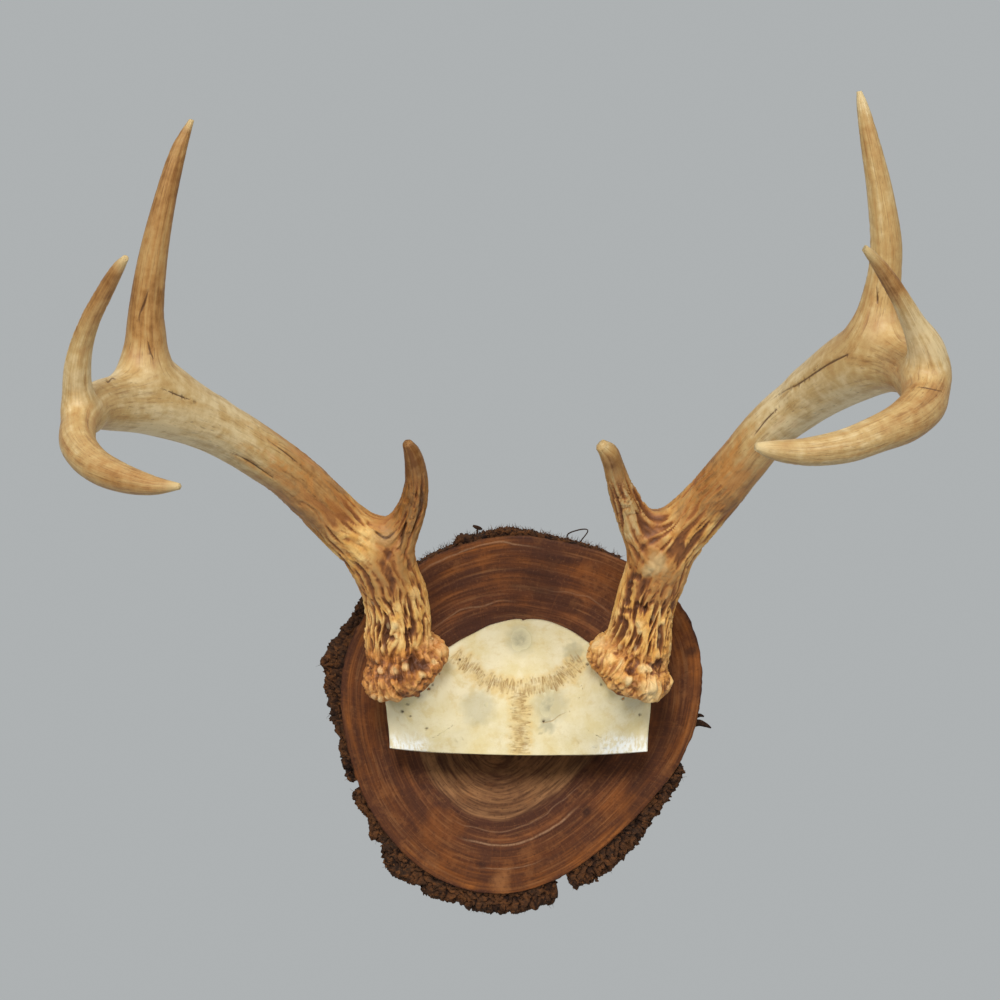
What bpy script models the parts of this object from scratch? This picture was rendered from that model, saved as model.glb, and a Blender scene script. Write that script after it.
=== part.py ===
"""A whitetail deer's antlers on their skull plate, mounted on a slice of log that hangs on a wall.

Metres, +Z up. The flat back of the log slice lies in the plane y = 0, the wall, and the origin is on
it, behind the middle of the skull plate. The antlers reach out towards -Y. +X is the viewer's right.
Every antler is split at its main forks into the beam, with its burr, and three tines.
"""
import math

import bmesh
import bpy
from mathutils import Vector

MM = 0.001
GAP = 0.3                     # clearance between neighbouring pieces, mm

# Log slice and bark (mm). The slice is an oval, given by its radius every 15 degrees round its
# centre, anticlockwise from +X.
SLICE_CENTRE_Z = 5.0
SLICE_THICKNESS = 24.0
SLICE_EDGE_ROUND = 1.2
SLICE_RADII = (88, 93, 96, 94, 90, 87, 87, 86.5, 87, 87.5, 88, 87,
               84.5, 83, 84, 85.5, 87.5, 88, 86, 81.5, 77.5, 76, 78, 83)
BARK_FRONT_RECESS = 1.0       # the bark stops a little short of both sawn faces
# name: (start angle, end angle, thickness at the start, in the middle, at the end)
BARK_STRETCHES = {
    "bark_top": (56, 127, 2.5, 4.0, 4.5),
    "bark_left": (129, 203, 4.5, 9.5, 5.5),
    "bark_bottom": (205, 284, 5.5, 10.6, 12.4),
    "bark_lower_right": (287, 343, 11.0, 9.5, 4.5),
}

# Skull plate (mm)
PLATE_THICKNESS = 7.0
PLATE_HALF_WIDTH = 62.0
PLATE_FRONT = 55.0            # how far the forehead stands off the wall
PLATE_SIDE_DROP = 8.0         # how much lower the sides are
PLATE_CROWN_DROP = 26.0       # how much lower the crown is
PLATE_CROWN_START = 5.0       # height where the forehead starts to curve back
PLATE_TOP = 51.0
PLATE_BOTTOM = -12.0
# Outline from the lower left corner, clockwise as seen from the front (x, z)
PLATE_OUTLINE = ((-60, -12), (-61, 10), (-60, 24), (-48, 34), (-34, 37), (-21, 43.5), (-9, 49),
                 (3, 51), (16, 50.5), (28, 45), (37, 38), (50, 34), (62, 24), (63, 12), (62, -12))
PEDICLE_RADIUS = 12.5
# Each pedicle from inside the plate to the seat of its burr (x, y, z)
PEDICLES = {"left": ((-43, -45, 13), (-49.5, -57.3, 24.2)), "right": ((43.5, -45, 13), (50, -57.3, 24.2))}

# Screws, driven square to the plate's surface through the block into the slice (mm): x, z and length
SCREWS = {"top": (1.5, 41.5, 30.0), "left": (-18.0, 10.5, 40.0), "right": (15.5, 12.0, 40.0)}
SCREW_SHANK_RADIUS = 2.0
SCREW_HEAD_RADIUS = 4.0
SCREW_HEAD_HEIGHT = 2.4
FILLER_RADIUS = 6.0
FILLER_THICKNESS = 2.0

# Mounting block between the slice and the plate (mm)
BLOCK_WIDTH = 56.0
BLOCK_BOTTOM = -8.0
BLOCK_TOP = 38.0
BLOCK_CORNER = 8.0

# Keyhole hanger let into the slice's back (mm)
HANGER_Z = 62.0
HANGER_WIDTH = 44.0
HANGER_HEIGHT = 16.0
HANGER_THICKNESS = 1.6
KEYHOLE_RADIUS = 4.5
KEYHOLE_SLOT_WIDTH = 4.4
KEYHOLE_SLOT_TOP = 5.0
HANGER_POCKET_DEPTH = 9.0
HANGER_SCREW_OFFSET = 16.5
HANGER_SCREW_RADIUS = 1.5
HANGER_SCREW_HEAD_RADIUS = 3.0
HANGER_SCREW_LENGTH = 12.0

# Antlers (mm): points (x, y, z, radius) along each centreline, from the burr to the tip. The first
# points of a beam make its flared burr. The two antlers grew differently, so neither is a mirror copy.
BEAM_SIDES = 16
TINE_SIDES = 12
STEP = 11.0                   # spacing of the tubes' sections
BEAMS = {
    "left": ((-49.7, -57.5, 24.5, 18.5), (-51.5, -58.5, 28, 21.0), (-54.2, -60.5, 33, 19.5), (-55.3, -64.5, 41.5, 15.7),
             (-55.5, -72, 57, 14.5), (-58.5, -79, 70.5, 14.5), (-65, -87, 83, 13.8), (-72, -93, 90.5, 12.8),
             (-82, -100, 99.5, 11.7), (-93.5, -111, 112, 11.6), (-107, -124, 124, 11.5), (-127.5, -147, 138, 11.9),
             (-143, -166, 145.5, 12.4), (-158, -186, 149.5, 12.9), (-170, -208, 149.5, 12.0), (-177.5, -230, 147, 9.5),
             (-180, -250, 141, 7.9), (-177.5, -270, 131.5, 7.5), (-168.5, -288, 123, 6.9), (-155.5, -303, 117.5, 5.8),
             (-142.5, -315, 114.5, 3.9), (-130.5, -322, 114, 0.9)),
    "right": ((50, -57.5, 24.5, 18.5), (52, -58.5, 28, 21.0), (55, -60.5, 33, 19.5), (57, -64.5, 41.5, 15.2),
              (59.8, -72, 58.5, 13.5), (63.2, -78, 71.5, 13.9), (68, -86, 85, 13.6), (75.5, -93, 95, 12.9),
              (84, -100, 104.5, 11.7), (92.5, -108, 114.5, 11.4), (112, -132, 140, 11.2), (124, -148, 151, 11.9),
              (134, -163, 158.5, 12.7), (145, -183, 164, 12.9), (154.5, -206, 166.5, 12.3), (161.7, -228, 163.5, 11.2),
              (166.7, -246, 157, 10.5), (164, -262, 148, 9.7), (154.3, -278, 140.5, 8.7), (142, -291, 135.2, 7.5),
              (127.5, -303, 130, 6.8), (111.5, -313, 127.5, 5.6), (98, -320, 128, 3.9), (89.5, -324, 129.5, 1.2)),
}
TINES = {
    "left_brow_tine": ((-62, -88, 82, 8.0), (-57.5, -91, 89, 9.0), (-52.8, -95, 95.5, 7.8), (-48, -102, 105, 6.2),
                       (-45.7, -112, 115.5, 5.2), (-46, -120, 123.7, 4.7), (-47.3, -126, 130, 3.8),
                       (-49.4, -131, 134.7, 2.2)),
    "left_g2_tine": ((-158.5, -187, 150.5, 9.0), (-158.7, -190, 161, 10.6), (-158.7, -192, 168, 10.2),
                     (-158.6, -196, 179, 8.7), (-157.7, -201, 191.5, 7.4), (-154, -209, 212, 6.1),
                     (-148.4, -216, 234.5, 4.7), (-142, -221, 255, 3.3), (-135.8, -224, 268.5, 1.0)),
    "left_g3_tine": ((-179.2, -246, 142, 5.5), (-180.7, -252, 151, 6.2), (-179.5, -258, 160.7, 5.6),
                     (-176.5, -265, 171.5, 4.7), (-171.8, -273, 181.5, 4.0), (-165.2, -281, 191.7, 3.5),
                     (-159.2, -288, 200.3, 2.6), (-155, -292, 205, 1.0)),
    "right_brow_tine": ((66, -87, 82, 8.0), (62, -90, 88, 9.2), (56.5, -94, 95.5, 8.6), (50.6, -102, 106.5, 6.6),
                        (46.2, -111, 116, 5.2), (43.6, -119, 123.7, 4.7), (41, -126, 130, 4.4),
                        (37.2, -130, 133.5, 3.0)),
    "right_g2_tine": ((147, -200, 165.5, 9.0), (148.5, -204, 174, 10.3), (150, -208, 181, 10.0),
                      (152.3, -213, 193, 8.2), (153.5, -217, 204.5, 7.1), (153.3, -222, 217.5, 6.6),
                      (150.2, -228, 235.5, 5.5), (146, -234, 253.5, 4.3), (142, -238, 269.5, 2.7),
                      (139.9, -240, 278.5, 1.0)),
    "right_g3_tine": ((166, -245, 156, 7.5), (167.3, -252, 163, 9.0), (166, -257, 168.5, 8.3),
                      (162.8, -262, 174, 6.7), (159, -267, 179.5, 5.1), (153.5, -275, 187.5, 4.0),
                      (148.7, -281, 194, 3.6), (143.5, -287, 200.3, 3.0), (139, -292, 205, 2.2),
                      (135, -296, 208.7, 1.0)),
}

COLOURS = {                   # base colour, roughness, metallic
    "antler": ((0.52, 0.33, 0.16), 0.55, 0.0),
    "bone": ((0.78, 0.70, 0.50), 0.60, 0.0),
    "filler": ((0.55, 0.52, 0.42), 0.80, 0.0),
    "slice": ((0.17, 0.06, 0.03), 0.40, 0.0),
    "bark": ((0.07, 0.04, 0.025), 0.90, 0.0),
    "block": ((0.55, 0.42, 0.28), 0.70, 0.0),
    "steel": ((0.55, 0.55, 0.55), 0.35, 1.0),
}


# Scene, collections and materials

for old in list(bpy.data.objects):
    bpy.data.objects.remove(old, do_unlink=True)
parts = bpy.data.collections.new("deer_antler_rack")
cutters = bpy.data.collections.new("cutters")
for collection in (parts, cutters):
    bpy.context.scene.collection.children.link(collection)

materials = {}
for name, (colour, roughness, metallic) in COLOURS.items():
    material = bpy.data.materials.new(name)
    material.use_nodes = True
    shader = material.node_tree.nodes["Principled BSDF"]
    shader.inputs["Base Color"].default_value = (*colour, 1.0)
    shader.inputs["Roughness"].default_value = roughness
    shader.inputs["Metallic"].default_value = metallic
    materials[name] = material


def add_part(name, mesh, finish, matrix=None):
    """Puts a mesh in the parts collection under its own name and with its material."""
    part = bpy.data.objects.new(name, mesh)
    mesh.materials.clear()
    mesh.materials.append(materials[finish])
    if matrix is not None:
        part.matrix_world = matrix
    parts.objects.link(part)
    return part


def add_cutter(name, mesh):
    """Puts a mesh in the cutters collection, shown as wire only."""
    cutter = bpy.data.objects.new(name, mesh)
    cutter.hide_render = True
    cutter.display_type = "WIRE"
    cutters.objects.link(cutter)
    return cutter


def cut(part, cutter, operation="DIFFERENCE"):
    """Adds an exact Boolean of the cutter to the part."""
    boolean = part.modifiers.new(cutter.name, "BOOLEAN")
    boolean.operation = operation
    boolean.object = cutter


def mesh_of_bmesh(bm, name):
    """Turns a bmesh into a mesh with outward faces and smooth shading."""
    bm.normal_update()
    bmesh.ops.recalc_face_normals(bm, faces=bm.faces)
    mesh = bpy.data.meshes.new(name)
    bm.to_mesh(mesh)
    bm.free()
    mesh.shade_smooth()
    mesh.set_sharp_from_angle(angle=math.radians(40))
    return mesh


def mesh_of_curve(curve_object, name):
    """Makes a curve object's evaluated shape a mesh with welded caps and removes the curve."""
    depsgraph = bpy.context.evaluated_depsgraph_get()
    mesh = bpy.data.meshes.new_from_object(curve_object.evaluated_get(depsgraph))
    mesh.name = name
    bm = bmesh.new()
    bm.from_mesh(mesh)
    bmesh.ops.remove_doubles(bm, verts=bm.verts, dist=0.01 * MM)
    bm.to_mesh(mesh)
    bm.free()
    bpy.data.objects.remove(curve_object, do_unlink=True)
    return mesh


def smooth_path(points, step):
    """Points about one step apart on a smooth curve through the given (x, y, z, radius) points."""
    ends = [[2 * a - b for a, b in zip(points[0], points[1])], [2 * a - b for a, b in zip(points[-1], points[-2])]]
    padded = [ends[0], *points, ends[1]]
    path = []
    for p0, p1, p2, p3 in zip(padded, padded[1:], padded[2:], padded[3:]):
        pieces = max(1, round((Vector(p2[:3]) - Vector(p1[:3])).length / step))
        for i in range(pieces):
            t = i / pieces
            path.append([0.5 * (2 * b + (c - a) * t + (2 * a - 5 * b + 4 * c - d) * t * t
                                + (3 * b - a - 3 * c + d) * t ** 3)
                         for a, b, c, d in zip(p0, p1, p2, p3)])
    path.append(list(points[-1]))
    return path


def tube_mesh(name, points, sides, step, extra=0.0):
    """A closed tube along the points, each with its own radius, fatter all round by extra mm."""
    curve = bpy.data.curves.new(name, "CURVE")
    curve.dimensions = "3D"
    curve.bevel_depth = MM
    curve.bevel_resolution = sides // 2 - 2
    curve.use_fill_caps = True
    path = smooth_path(points, step)
    spline = curve.splines.new("POLY")
    spline.points.add(len(path) - 1)
    for point, (x, y, z, radius) in zip(spline.points, path):
        point.co = (x * MM, y * MM, z * MM, 1.0)
        point.radius = radius + extra
    tube = bpy.data.objects.new(name, curve)
    parts.objects.link(tube)
    bpy.context.view_layer.update()
    mesh = mesh_of_curve(tube, name)
    mesh.shade_smooth()
    return mesh


def cylinder_mesh(name, radius, start, end, point, direction=(0, 1, 0), sides=20, end_radius=None):
    """A cylinder or cone round a line through the point, from start to end (mm) along the direction."""
    bm = bmesh.new()
    bmesh.ops.create_cone(bm, cap_ends=True, segments=sides, radius1=radius * MM,
                          radius2=(radius if end_radius is None else end_radius) * MM,
                          depth=(end - start) * MM)
    turn = Vector((0, 0, 1)).rotation_difference(Vector(direction))
    middle = (Vector(point) + Vector(direction) * (start + end) / 2) * MM
    for vert in bm.verts:
        vert.co = turn @ vert.co + middle
    return mesh_of_bmesh(bm, name)


def prism_mesh(name, outline, front, back):
    """A flat outline (x, z) filled and extruded along Y from y = front to y = back."""
    curve = bpy.data.curves.new(name, "CURVE")
    curve.dimensions = "2D"
    curve.fill_mode = "BOTH"
    curve.extrude = (back - front) / 2 * MM
    spline = curve.splines.new("POLY")
    spline.points.add(len(outline) - 1)
    for point, (x, z) in zip(spline.points, outline):
        point.co = (x * MM, z * MM, 0.0, 1.0)
    spline.use_cyclic_u = True
    flat = bpy.data.objects.new(name, curve)
    parts.objects.link(flat)
    bpy.context.view_layer.update()
    mesh = mesh_of_curve(flat, name)
    for vert in mesh.vertices:
        x, z, along = vert.co
        vert.co = (x, (front + back) / 2 * MM - along, z)
    return mesh


# The log slice, its bark and the hanger in its back

def slice_radius(angle):
    """Radius of the sawn slice at an angle in degrees, smooth between the given radii."""
    spacing = 360 / len(SLICE_RADII)
    at = (angle % 360) / spacing
    i, t = int(at), at - int(at)
    a, b, c, d = (SLICE_RADII[(i + k) % len(SLICE_RADII)] for k in (-1, 0, 1, 2))
    return 0.5 * (2 * b + (c - a) * t + (2 * a - 5 * b + 4 * c - d) * t * t + (3 * b - a - 3 * c + d) * t ** 3)


def slice_point(angle, extra=0.0):
    """A point (x, z) that stands extra mm outside the slice's edge."""
    radius = slice_radius(angle) + extra
    turn = math.radians(angle)
    return radius * math.cos(turn), SLICE_CENTRE_Z + radius * math.sin(turn)


slice_mesh = prism_mesh("log_slice", [slice_point(angle) for angle in range(0, 360, 6)], -SLICE_THICKNESS, 0.0)
log_slice = add_part("log_slice", slice_mesh, "slice")
edge_round = log_slice.modifiers.new("worn edge", "BEVEL")
edge_round.width = SLICE_EDGE_ROUND * MM
edge_round.segments = 2
edge_round.limit_method = "ANGLE"
edge_round.angle_limit = math.radians(60)


def bark_mesh(name, start, end, thickness_start, thickness_middle, thickness_end):
    """A strip of bark along the slice's edge: one six-sided section every few degrees."""
    stations = max(4, round((end - start) / 5))
    back = -BARK_FRONT_RECESS
    front = BARK_FRONT_RECESS - SLICE_THICKNESS
    bm = bmesh.new()
    rings = []
    for i in range(stations + 1):
        t = i / stations
        angle = start + (end - start) * t
        swell = 4 * t * (1 - t)
        thickness = thickness_start * (1 - t) + thickness_end * t
        thickness += swell * (thickness_middle - (thickness_start + thickness_end) / 2)
        section = ((GAP, back), (thickness * 0.7, back), (thickness, back - 4.0),
                   (thickness, front + 5.0), (thickness * 0.75, front), (GAP, front))
        ring = []
        for out, y in section:
            x, z = slice_point(angle, out)
            ring.append(bm.verts.new((x * MM, y * MM, z * MM)))
        rings.append(ring)
    for ring, following in zip(rings, rings[1:]):
        for i in range(len(ring)):
            j = (i + 1) % len(ring)
            bm.faces.new((ring[i], ring[j], following[j], following[i]))
    bm.faces.new(rings[0])
    bm.faces.new(list(reversed(rings[-1])))
    return mesh_of_bmesh(bm, name)


for name, stretch in BARK_STRETCHES.items():
    add_part(name, bark_mesh(name, *stretch), "bark")


def stadium(width, height, centre_z, steps=8):
    """An outline with round ends, width across in X and height in Z."""
    radius = height / 2
    outline = []
    for side, first in ((1, -90), (-1, 90)):
        for i in range(steps + 1):
            turn = math.radians(first + 180 * i / steps)
            outline.append((side * (width / 2 - radius) + radius * math.cos(turn), centre_z + radius * math.sin(turn)))
    return outline


hanger = add_part("hanger_plate", prism_mesh("hanger_plate", stadium(HANGER_WIDTH, HANGER_HEIGHT, HANGER_Z),
                                             -HANGER_THICKNESS, 0.0), "steel")
keyhole = add_cutter("keyhole", cylinder_mesh("keyhole", KEYHOLE_RADIUS, -5.0, 3.0, (0, 0, HANGER_Z - 2.5)))
slot_half = KEYHOLE_SLOT_WIDTH / 2
slot_outline = ((-slot_half, HANGER_Z - 2.5), (slot_half, HANGER_Z - 2.5),
                (slot_half, HANGER_Z + KEYHOLE_SLOT_TOP), (-slot_half, HANGER_Z + KEYHOLE_SLOT_TOP))
keyhole_slot = add_cutter("keyhole_slot", prism_mesh("keyhole_slot", slot_outline, -5.5, 3.5))
pocket = add_cutter("hanger_pocket", prism_mesh(
    "hanger_pocket", stadium(HANGER_WIDTH + 2 * GAP, HANGER_HEIGHT + 2 * GAP, HANGER_Z),
    -HANGER_THICKNESS - GAP, 1.0))
nail_room = add_cutter("nail_room", prism_mesh("nail_room", stadium(16.0, 14.0, HANGER_Z), -HANGER_POCKET_DEPTH, 0.7))
cut(hanger, keyhole)
cut(hanger, keyhole_slot)
cut(log_slice, pocket)
cut(log_slice, nail_room)
for side, sign in (("left", -1), ("right", 1)):
    at = (sign * HANGER_SCREW_OFFSET, 0, HANGER_Z)
    name = f"hanger_screw_{side}"
    shank_front = -HANGER_THICKNESS - HANGER_SCREW_LENGTH
    head_front = -HANGER_THICKNESS + 0.1
    screw = add_part(name, cylinder_mesh(name, HANGER_SCREW_RADIUS, shank_front, -0.5, at, sides=12), "steel")
    cut(screw, add_cutter(name + "_head", cylinder_mesh(name + "_head", HANGER_SCREW_RADIUS * 0.9, head_front, 0.0,
                                                        at, sides=12, end_radius=HANGER_SCREW_HEAD_RADIUS)), "UNION")
    cut(hanger, add_cutter(name + "_sink", cylinder_mesh(name + "_sink", HANGER_SCREW_RADIUS + 0.1,
                                                         head_front - 0.4, 0.2, at, sides=12,
                                                         end_radius=HANGER_SCREW_HEAD_RADIUS + 0.7)))
    hole = add_cutter(name + "_hole", cylinder_mesh(name + "_hole", HANGER_SCREW_RADIUS + GAP, shank_front - 1.0,
                                                    0.8 - HANGER_THICKNESS, at, sides=12))
    cut(hanger, hole)
    cut(log_slice, hole)


# The skull plate with its pedicles, the block behind it, the screws and the filler over their heads

def plate_surface(x, z):
    """How far the skull plate's outer surface stands off the wall at (x, z)."""
    crown = max(0.0, z - PLATE_CROWN_START) / (PLATE_TOP - PLATE_CROWN_START)
    return PLATE_FRONT - PLATE_SIDE_DROP * (x / PLATE_HALF_WIDTH) ** 2 - PLATE_CROWN_DROP * crown ** 2


def plate_inward(x, z):
    """The direction square to the plate's outer surface at (x, z), into the bone."""
    step = 0.5
    slope_x = (plate_surface(x + step, z) - plate_surface(x - step, z)) / (2 * step)
    slope_z = (plate_surface(x, z + step) - plate_surface(x, z - step)) / (2 * step)
    return Vector((slope_x, 1.0, slope_z)).normalized()


def domed_mesh(name, front_offset, back_offset, columns=22, rows=12, margin=8.0):
    """A domed slab between two copies of the plate's outer surface, offset towards the viewer (mm)."""
    low_x, high_x = -PLATE_HALF_WIDTH - margin, PLATE_HALF_WIDTH + margin
    low_z, high_z = PLATE_BOTTOM - margin, PLATE_TOP + margin
    bm = bmesh.new()
    layers = []
    for offset in (front_offset, back_offset):
        grid = []
        for i in range(columns + 1):
            x = low_x + (high_x - low_x) * i / columns
            column = []
            for j in range(rows + 1):
                z = low_z + (high_z - low_z) * j / rows
                column.append(bm.verts.new((x * MM, -(plate_surface(x, z) + offset) * MM, z * MM)))
            grid.append(column)
        layers.append(grid)
    for grid in layers:
        for i in range(columns):
            for j in range(rows):
                bm.faces.new((grid[i][j], grid[i + 1][j], grid[i + 1][j + 1], grid[i][j + 1]))
    front, back = layers
    rim = [(i, 0) for i in range(columns)] + [(columns, j) for j in range(rows)]
    rim += [(i, rows) for i in range(columns, 0, -1)] + [(0, j) for j in range(rows, 0, -1)]
    for (i, j), (k, m) in zip(rim, rim[1:] + rim[:1]):
        bm.faces.new((front[i][j], front[k][m], back[k][m], back[i][j]))
    return mesh_of_bmesh(bm, name)


skull_plate = add_part("skull_plate", domed_mesh("skull_plate", 0.0, -PLATE_THICKNESS), "bone")
outline_cutter = add_cutter("plate_outline", prism_mesh("plate_outline", PLATE_OUTLINE, -80.0, -5.0))
cut(skull_plate, outline_cutter, "INTERSECT")
for side, (root, seat) in PEDICLES.items():
    along = (Vector(seat) - Vector(root)) / 4
    stub = [(*(Vector(root) + along * i), PEDICLE_RADIUS + (4 - i) * 0.6) for i in range(5)]
    pedicle = add_cutter(f"{side}_pedicle", tube_mesh(f"{side}_pedicle", stub, 16, 3.0))
    cut(skull_plate, pedicle, "UNION")
wall_side = add_cutter("slice_side", prism_mesh("slice_side", ((-90, -60), (90, -60), (90, 80), (-90, 80)),
                                                -SLICE_THICKNESS - GAP, 5.0))
cut(skull_plate, wall_side)

block_outline = []
for centre_x, centre_z, first in ((1, 1, 0), (-1, 1, 90), (-1, -1, 180), (1, -1, 270)):
    middle = (BLOCK_BOTTOM + BLOCK_TOP) / 2
    for i in range(5):
        turn = math.radians(first + 22.5 * i)
        block_outline.append((centre_x * (BLOCK_WIDTH / 2 - BLOCK_CORNER) + BLOCK_CORNER * math.cos(turn),
                              middle + centre_z * ((BLOCK_TOP - BLOCK_BOTTOM) / 2 - BLOCK_CORNER)
                              + BLOCK_CORNER * math.sin(turn)))
mounting_block = add_part("mounting_block", prism_mesh("mounting_block", block_outline, -60.0,
                                                       -SLICE_THICKNESS - GAP), "block")
plate_room = add_cutter("plate_room", domed_mesh("plate_room", 40.0, -PLATE_THICKNESS - GAP))
cut(mounting_block, plate_room)
for side in PEDICLES:
    root, seat = PEDICLES[side]
    root_room = [(*root, PEDICLE_RADIUS + 3.0), (*seat, PEDICLE_RADIUS + 1.0)]
    pedicle_room = add_cutter(f"{side}_pedicle_room", tube_mesh(f"{side}_pedicle_room", root_room, 16, 30.0, 0.4))
    cut(mounting_block, pedicle_room)

for name, (x, z, length) in SCREWS.items():
    surface = (x, -plate_surface(x, z), z)
    inward = plate_inward(x, z)
    filler = add_part(f"filler_{name}", cylinder_mesh(f"filler_{name}", FILLER_RADIUS, -3.0, FILLER_THICKNESS,
                                                      surface, inward), "filler")
    cut(filler, add_cutter(f"above_plate_{name}", domed_mesh(f"above_plate_{name}", 40.0, 0.0)))
    head_start = FILLER_THICKNESS + GAP
    head_end = head_start + SCREW_HEAD_HEIGHT
    cut(skull_plate, add_cutter(f"recess_{name}", cylinder_mesh(f"recess_{name}", FILLER_RADIUS + GAP, -5.0,
                                                                head_start, surface, inward)))
    screw = add_part(f"screw_{name}", cylinder_mesh(f"screw_{name}", SCREW_HEAD_RADIUS, head_start, head_end,
                                                    surface, inward, 16, SCREW_SHANK_RADIUS * 0.9), "steel")
    cut(screw, add_cutter(f"shank_{name}", cylinder_mesh(f"shank_{name}", SCREW_SHANK_RADIUS, head_start + 1.0,
                                                         length, surface, inward, 16)), "UNION")
    hole = add_cutter(f"hole_{name}", cylinder_mesh(f"hole_{name}", SCREW_SHANK_RADIUS + GAP, head_start + 1.0,
                                                    length + 1.0, surface, inward, 16))
    sink = add_cutter(f"sink_{name}", cylinder_mesh(f"sink_{name}", SCREW_HEAD_RADIUS + 2 * GAP,
                                                    head_start - 0.5, head_end + 0.2, surface, inward, 16,
                                                    SCREW_SHANK_RADIUS + GAP + 0.2))
    for piece in (skull_plate, mounting_block, log_slice):
        cut(piece, hole)
    cut(skull_plate, sink)
    cut(mounting_block, sink)


# The antlers

for side, points in BEAMS.items():
    beam = add_part(f"{side}_main_beam", tube_mesh(f"{side}_main_beam", points, BEAM_SIDES, STEP), "antler")
    beam_room = add_cutter(f"{side}_beam_room", tube_mesh(f"{side}_beam_room", points, BEAM_SIDES, STEP, GAP))
    for tine_name in ("brow_tine", "g2_tine", "g3_tine"):
        name = f"{side}_{tine_name}"
        tine = add_part(name, tube_mesh(name, TINES[name], TINE_SIDES, STEP), "antler")
        cut(tine, beam_room)
    seat_room = add_cutter(f"{side}_seat_room", tube_mesh(f"{side}_seat_room", points[:3], BEAM_SIDES, STEP, GAP))
    cut(skull_plate, seat_room)
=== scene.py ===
"""A whitetail deer's antlers on their skull plate, mounted on a slice of log that hangs on a wall.

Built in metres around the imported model: the log slice first, then its bark, the hanger, the block,
the skull plate and its filled screw holes, the two antlers, and last the studio.
"""
import itertools
import math
from types import SimpleNamespace

import bmesh
import bpy
import numpy as np
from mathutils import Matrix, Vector


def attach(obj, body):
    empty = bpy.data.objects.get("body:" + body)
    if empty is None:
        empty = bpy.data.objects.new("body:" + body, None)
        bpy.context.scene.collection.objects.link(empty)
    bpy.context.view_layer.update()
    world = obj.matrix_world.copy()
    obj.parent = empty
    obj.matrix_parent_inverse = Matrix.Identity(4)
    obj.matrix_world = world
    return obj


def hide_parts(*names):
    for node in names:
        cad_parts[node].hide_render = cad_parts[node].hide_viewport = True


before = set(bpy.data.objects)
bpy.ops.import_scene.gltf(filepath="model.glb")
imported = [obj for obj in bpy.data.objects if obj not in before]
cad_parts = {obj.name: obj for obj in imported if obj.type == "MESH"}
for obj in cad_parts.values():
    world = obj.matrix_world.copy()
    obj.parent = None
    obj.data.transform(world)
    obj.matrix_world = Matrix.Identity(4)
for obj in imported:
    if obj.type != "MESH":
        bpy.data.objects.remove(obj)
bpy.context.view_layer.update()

# ---------------------------------------------------------------------------------------------
# Log slice. A sawn and oiled slice of a dark brown log, oval, with a lighter heart. It carries the
# block by screws from the front, and a steel hanger is let into its back.

MM = 0.001
SLICE_CENTRE_Z = 5.0
SLICE_THICKNESS = 24.0
SLICE_EDGE_ROUND = 1.2
# Radius in mm every 15 degrees round the slice's centre, anticlockwise from +X
SLICE_RADII = (88, 93, 96, 94, 90, 87, 87, 86.5, 87, 87.5, 88, 87,
               84.5, 83, 84, 85.5, 87.5, 88, 86, 81.5, 77.5, 76, 78, 83)
PITH = (-8.8, -5.5)           # x and z of the heart that the rings grow round
RING_SCALE = 88.0             # mm of ring growth from the pith to the edge
# Pale growth rings: growth, width, first and last turn round the pith, strength
LIGHT_RINGS = ((0.690, 0.010, 0.68, 0.86, 0.95), (0.835, 0.006, 0.70, 0.79, 0.55),
               (0.965, 0.007, 0.22, 0.35, 0.70), (0.675, 0.006, 0.24, 0.37, 0.55),
               (0.760, 0.005, 0.12, 0.22, 0.40), (0.595, 0.006, 0.66, 0.90, 0.45))
DARK_MARK = (0.030, 0.012, 0.009)
PALE_MARK = (0.300, 0.130, 0.050)
# Marks on the sawn face: x, z, radius, strength, colour
WOOD_MARKS = ((-16.5, -67.0, 3.0, 0.7, DARK_MARK), (34.0, -41.5, 3.2, 0.8, DARK_MARK),
              (84.0, 36.0, 3.0, 0.7, DARK_MARK), (-8.0, -76.0, 5.5, 0.6, PALE_MARK),
              (12.0, 70.0, 15.0, 0.5, DARK_MARK), (58.0, -30.0, 9.0, 0.4, DARK_MARK))
# Colours from the pith outward, at shares of the growth
BAND_COLOURS = ((0.00, (0.235, 0.112, 0.050)), (0.30, (0.255, 0.124, 0.058)), (0.46, (0.285, 0.143, 0.066)),
                (0.515, (0.330, 0.170, 0.082)), (0.54, (0.090, 0.034, 0.019)), (0.61, (0.085, 0.030, 0.016)),
                (0.655, (0.200, 0.070, 0.025)), (0.70, (0.110, 0.036, 0.015)), (0.77, (0.195, 0.066, 0.020)),
                (0.82, (0.110, 0.034, 0.011)), (0.88, (0.210, 0.070, 0.017)), (0.92, (0.135, 0.042, 0.011)),
                (0.955, (0.260, 0.088, 0.020)), (0.985, (0.200, 0.066, 0.015)), (1.0, (0.060, 0.020, 0.008)))
HANGER_Z = 62.0


def fade(x, start, end):
    """0 before start, 1 past end, smooth in between; start may be the greater."""
    t = np.clip((x - start) / (end - start), 0.0, 1.0)
    return t * t * (3 - 2 * t)


def curve_through(a, b, c, d, t):
    """The point at share t of the way from b to c on a smooth curve that also passes a and d."""
    return 0.5 * (2 * b + (c - a) * t + (2 * a - 5 * b + 4 * c - d) * t ** 2
                  + (3 * b - a - 3 * c + d) * t ** 3)


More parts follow.
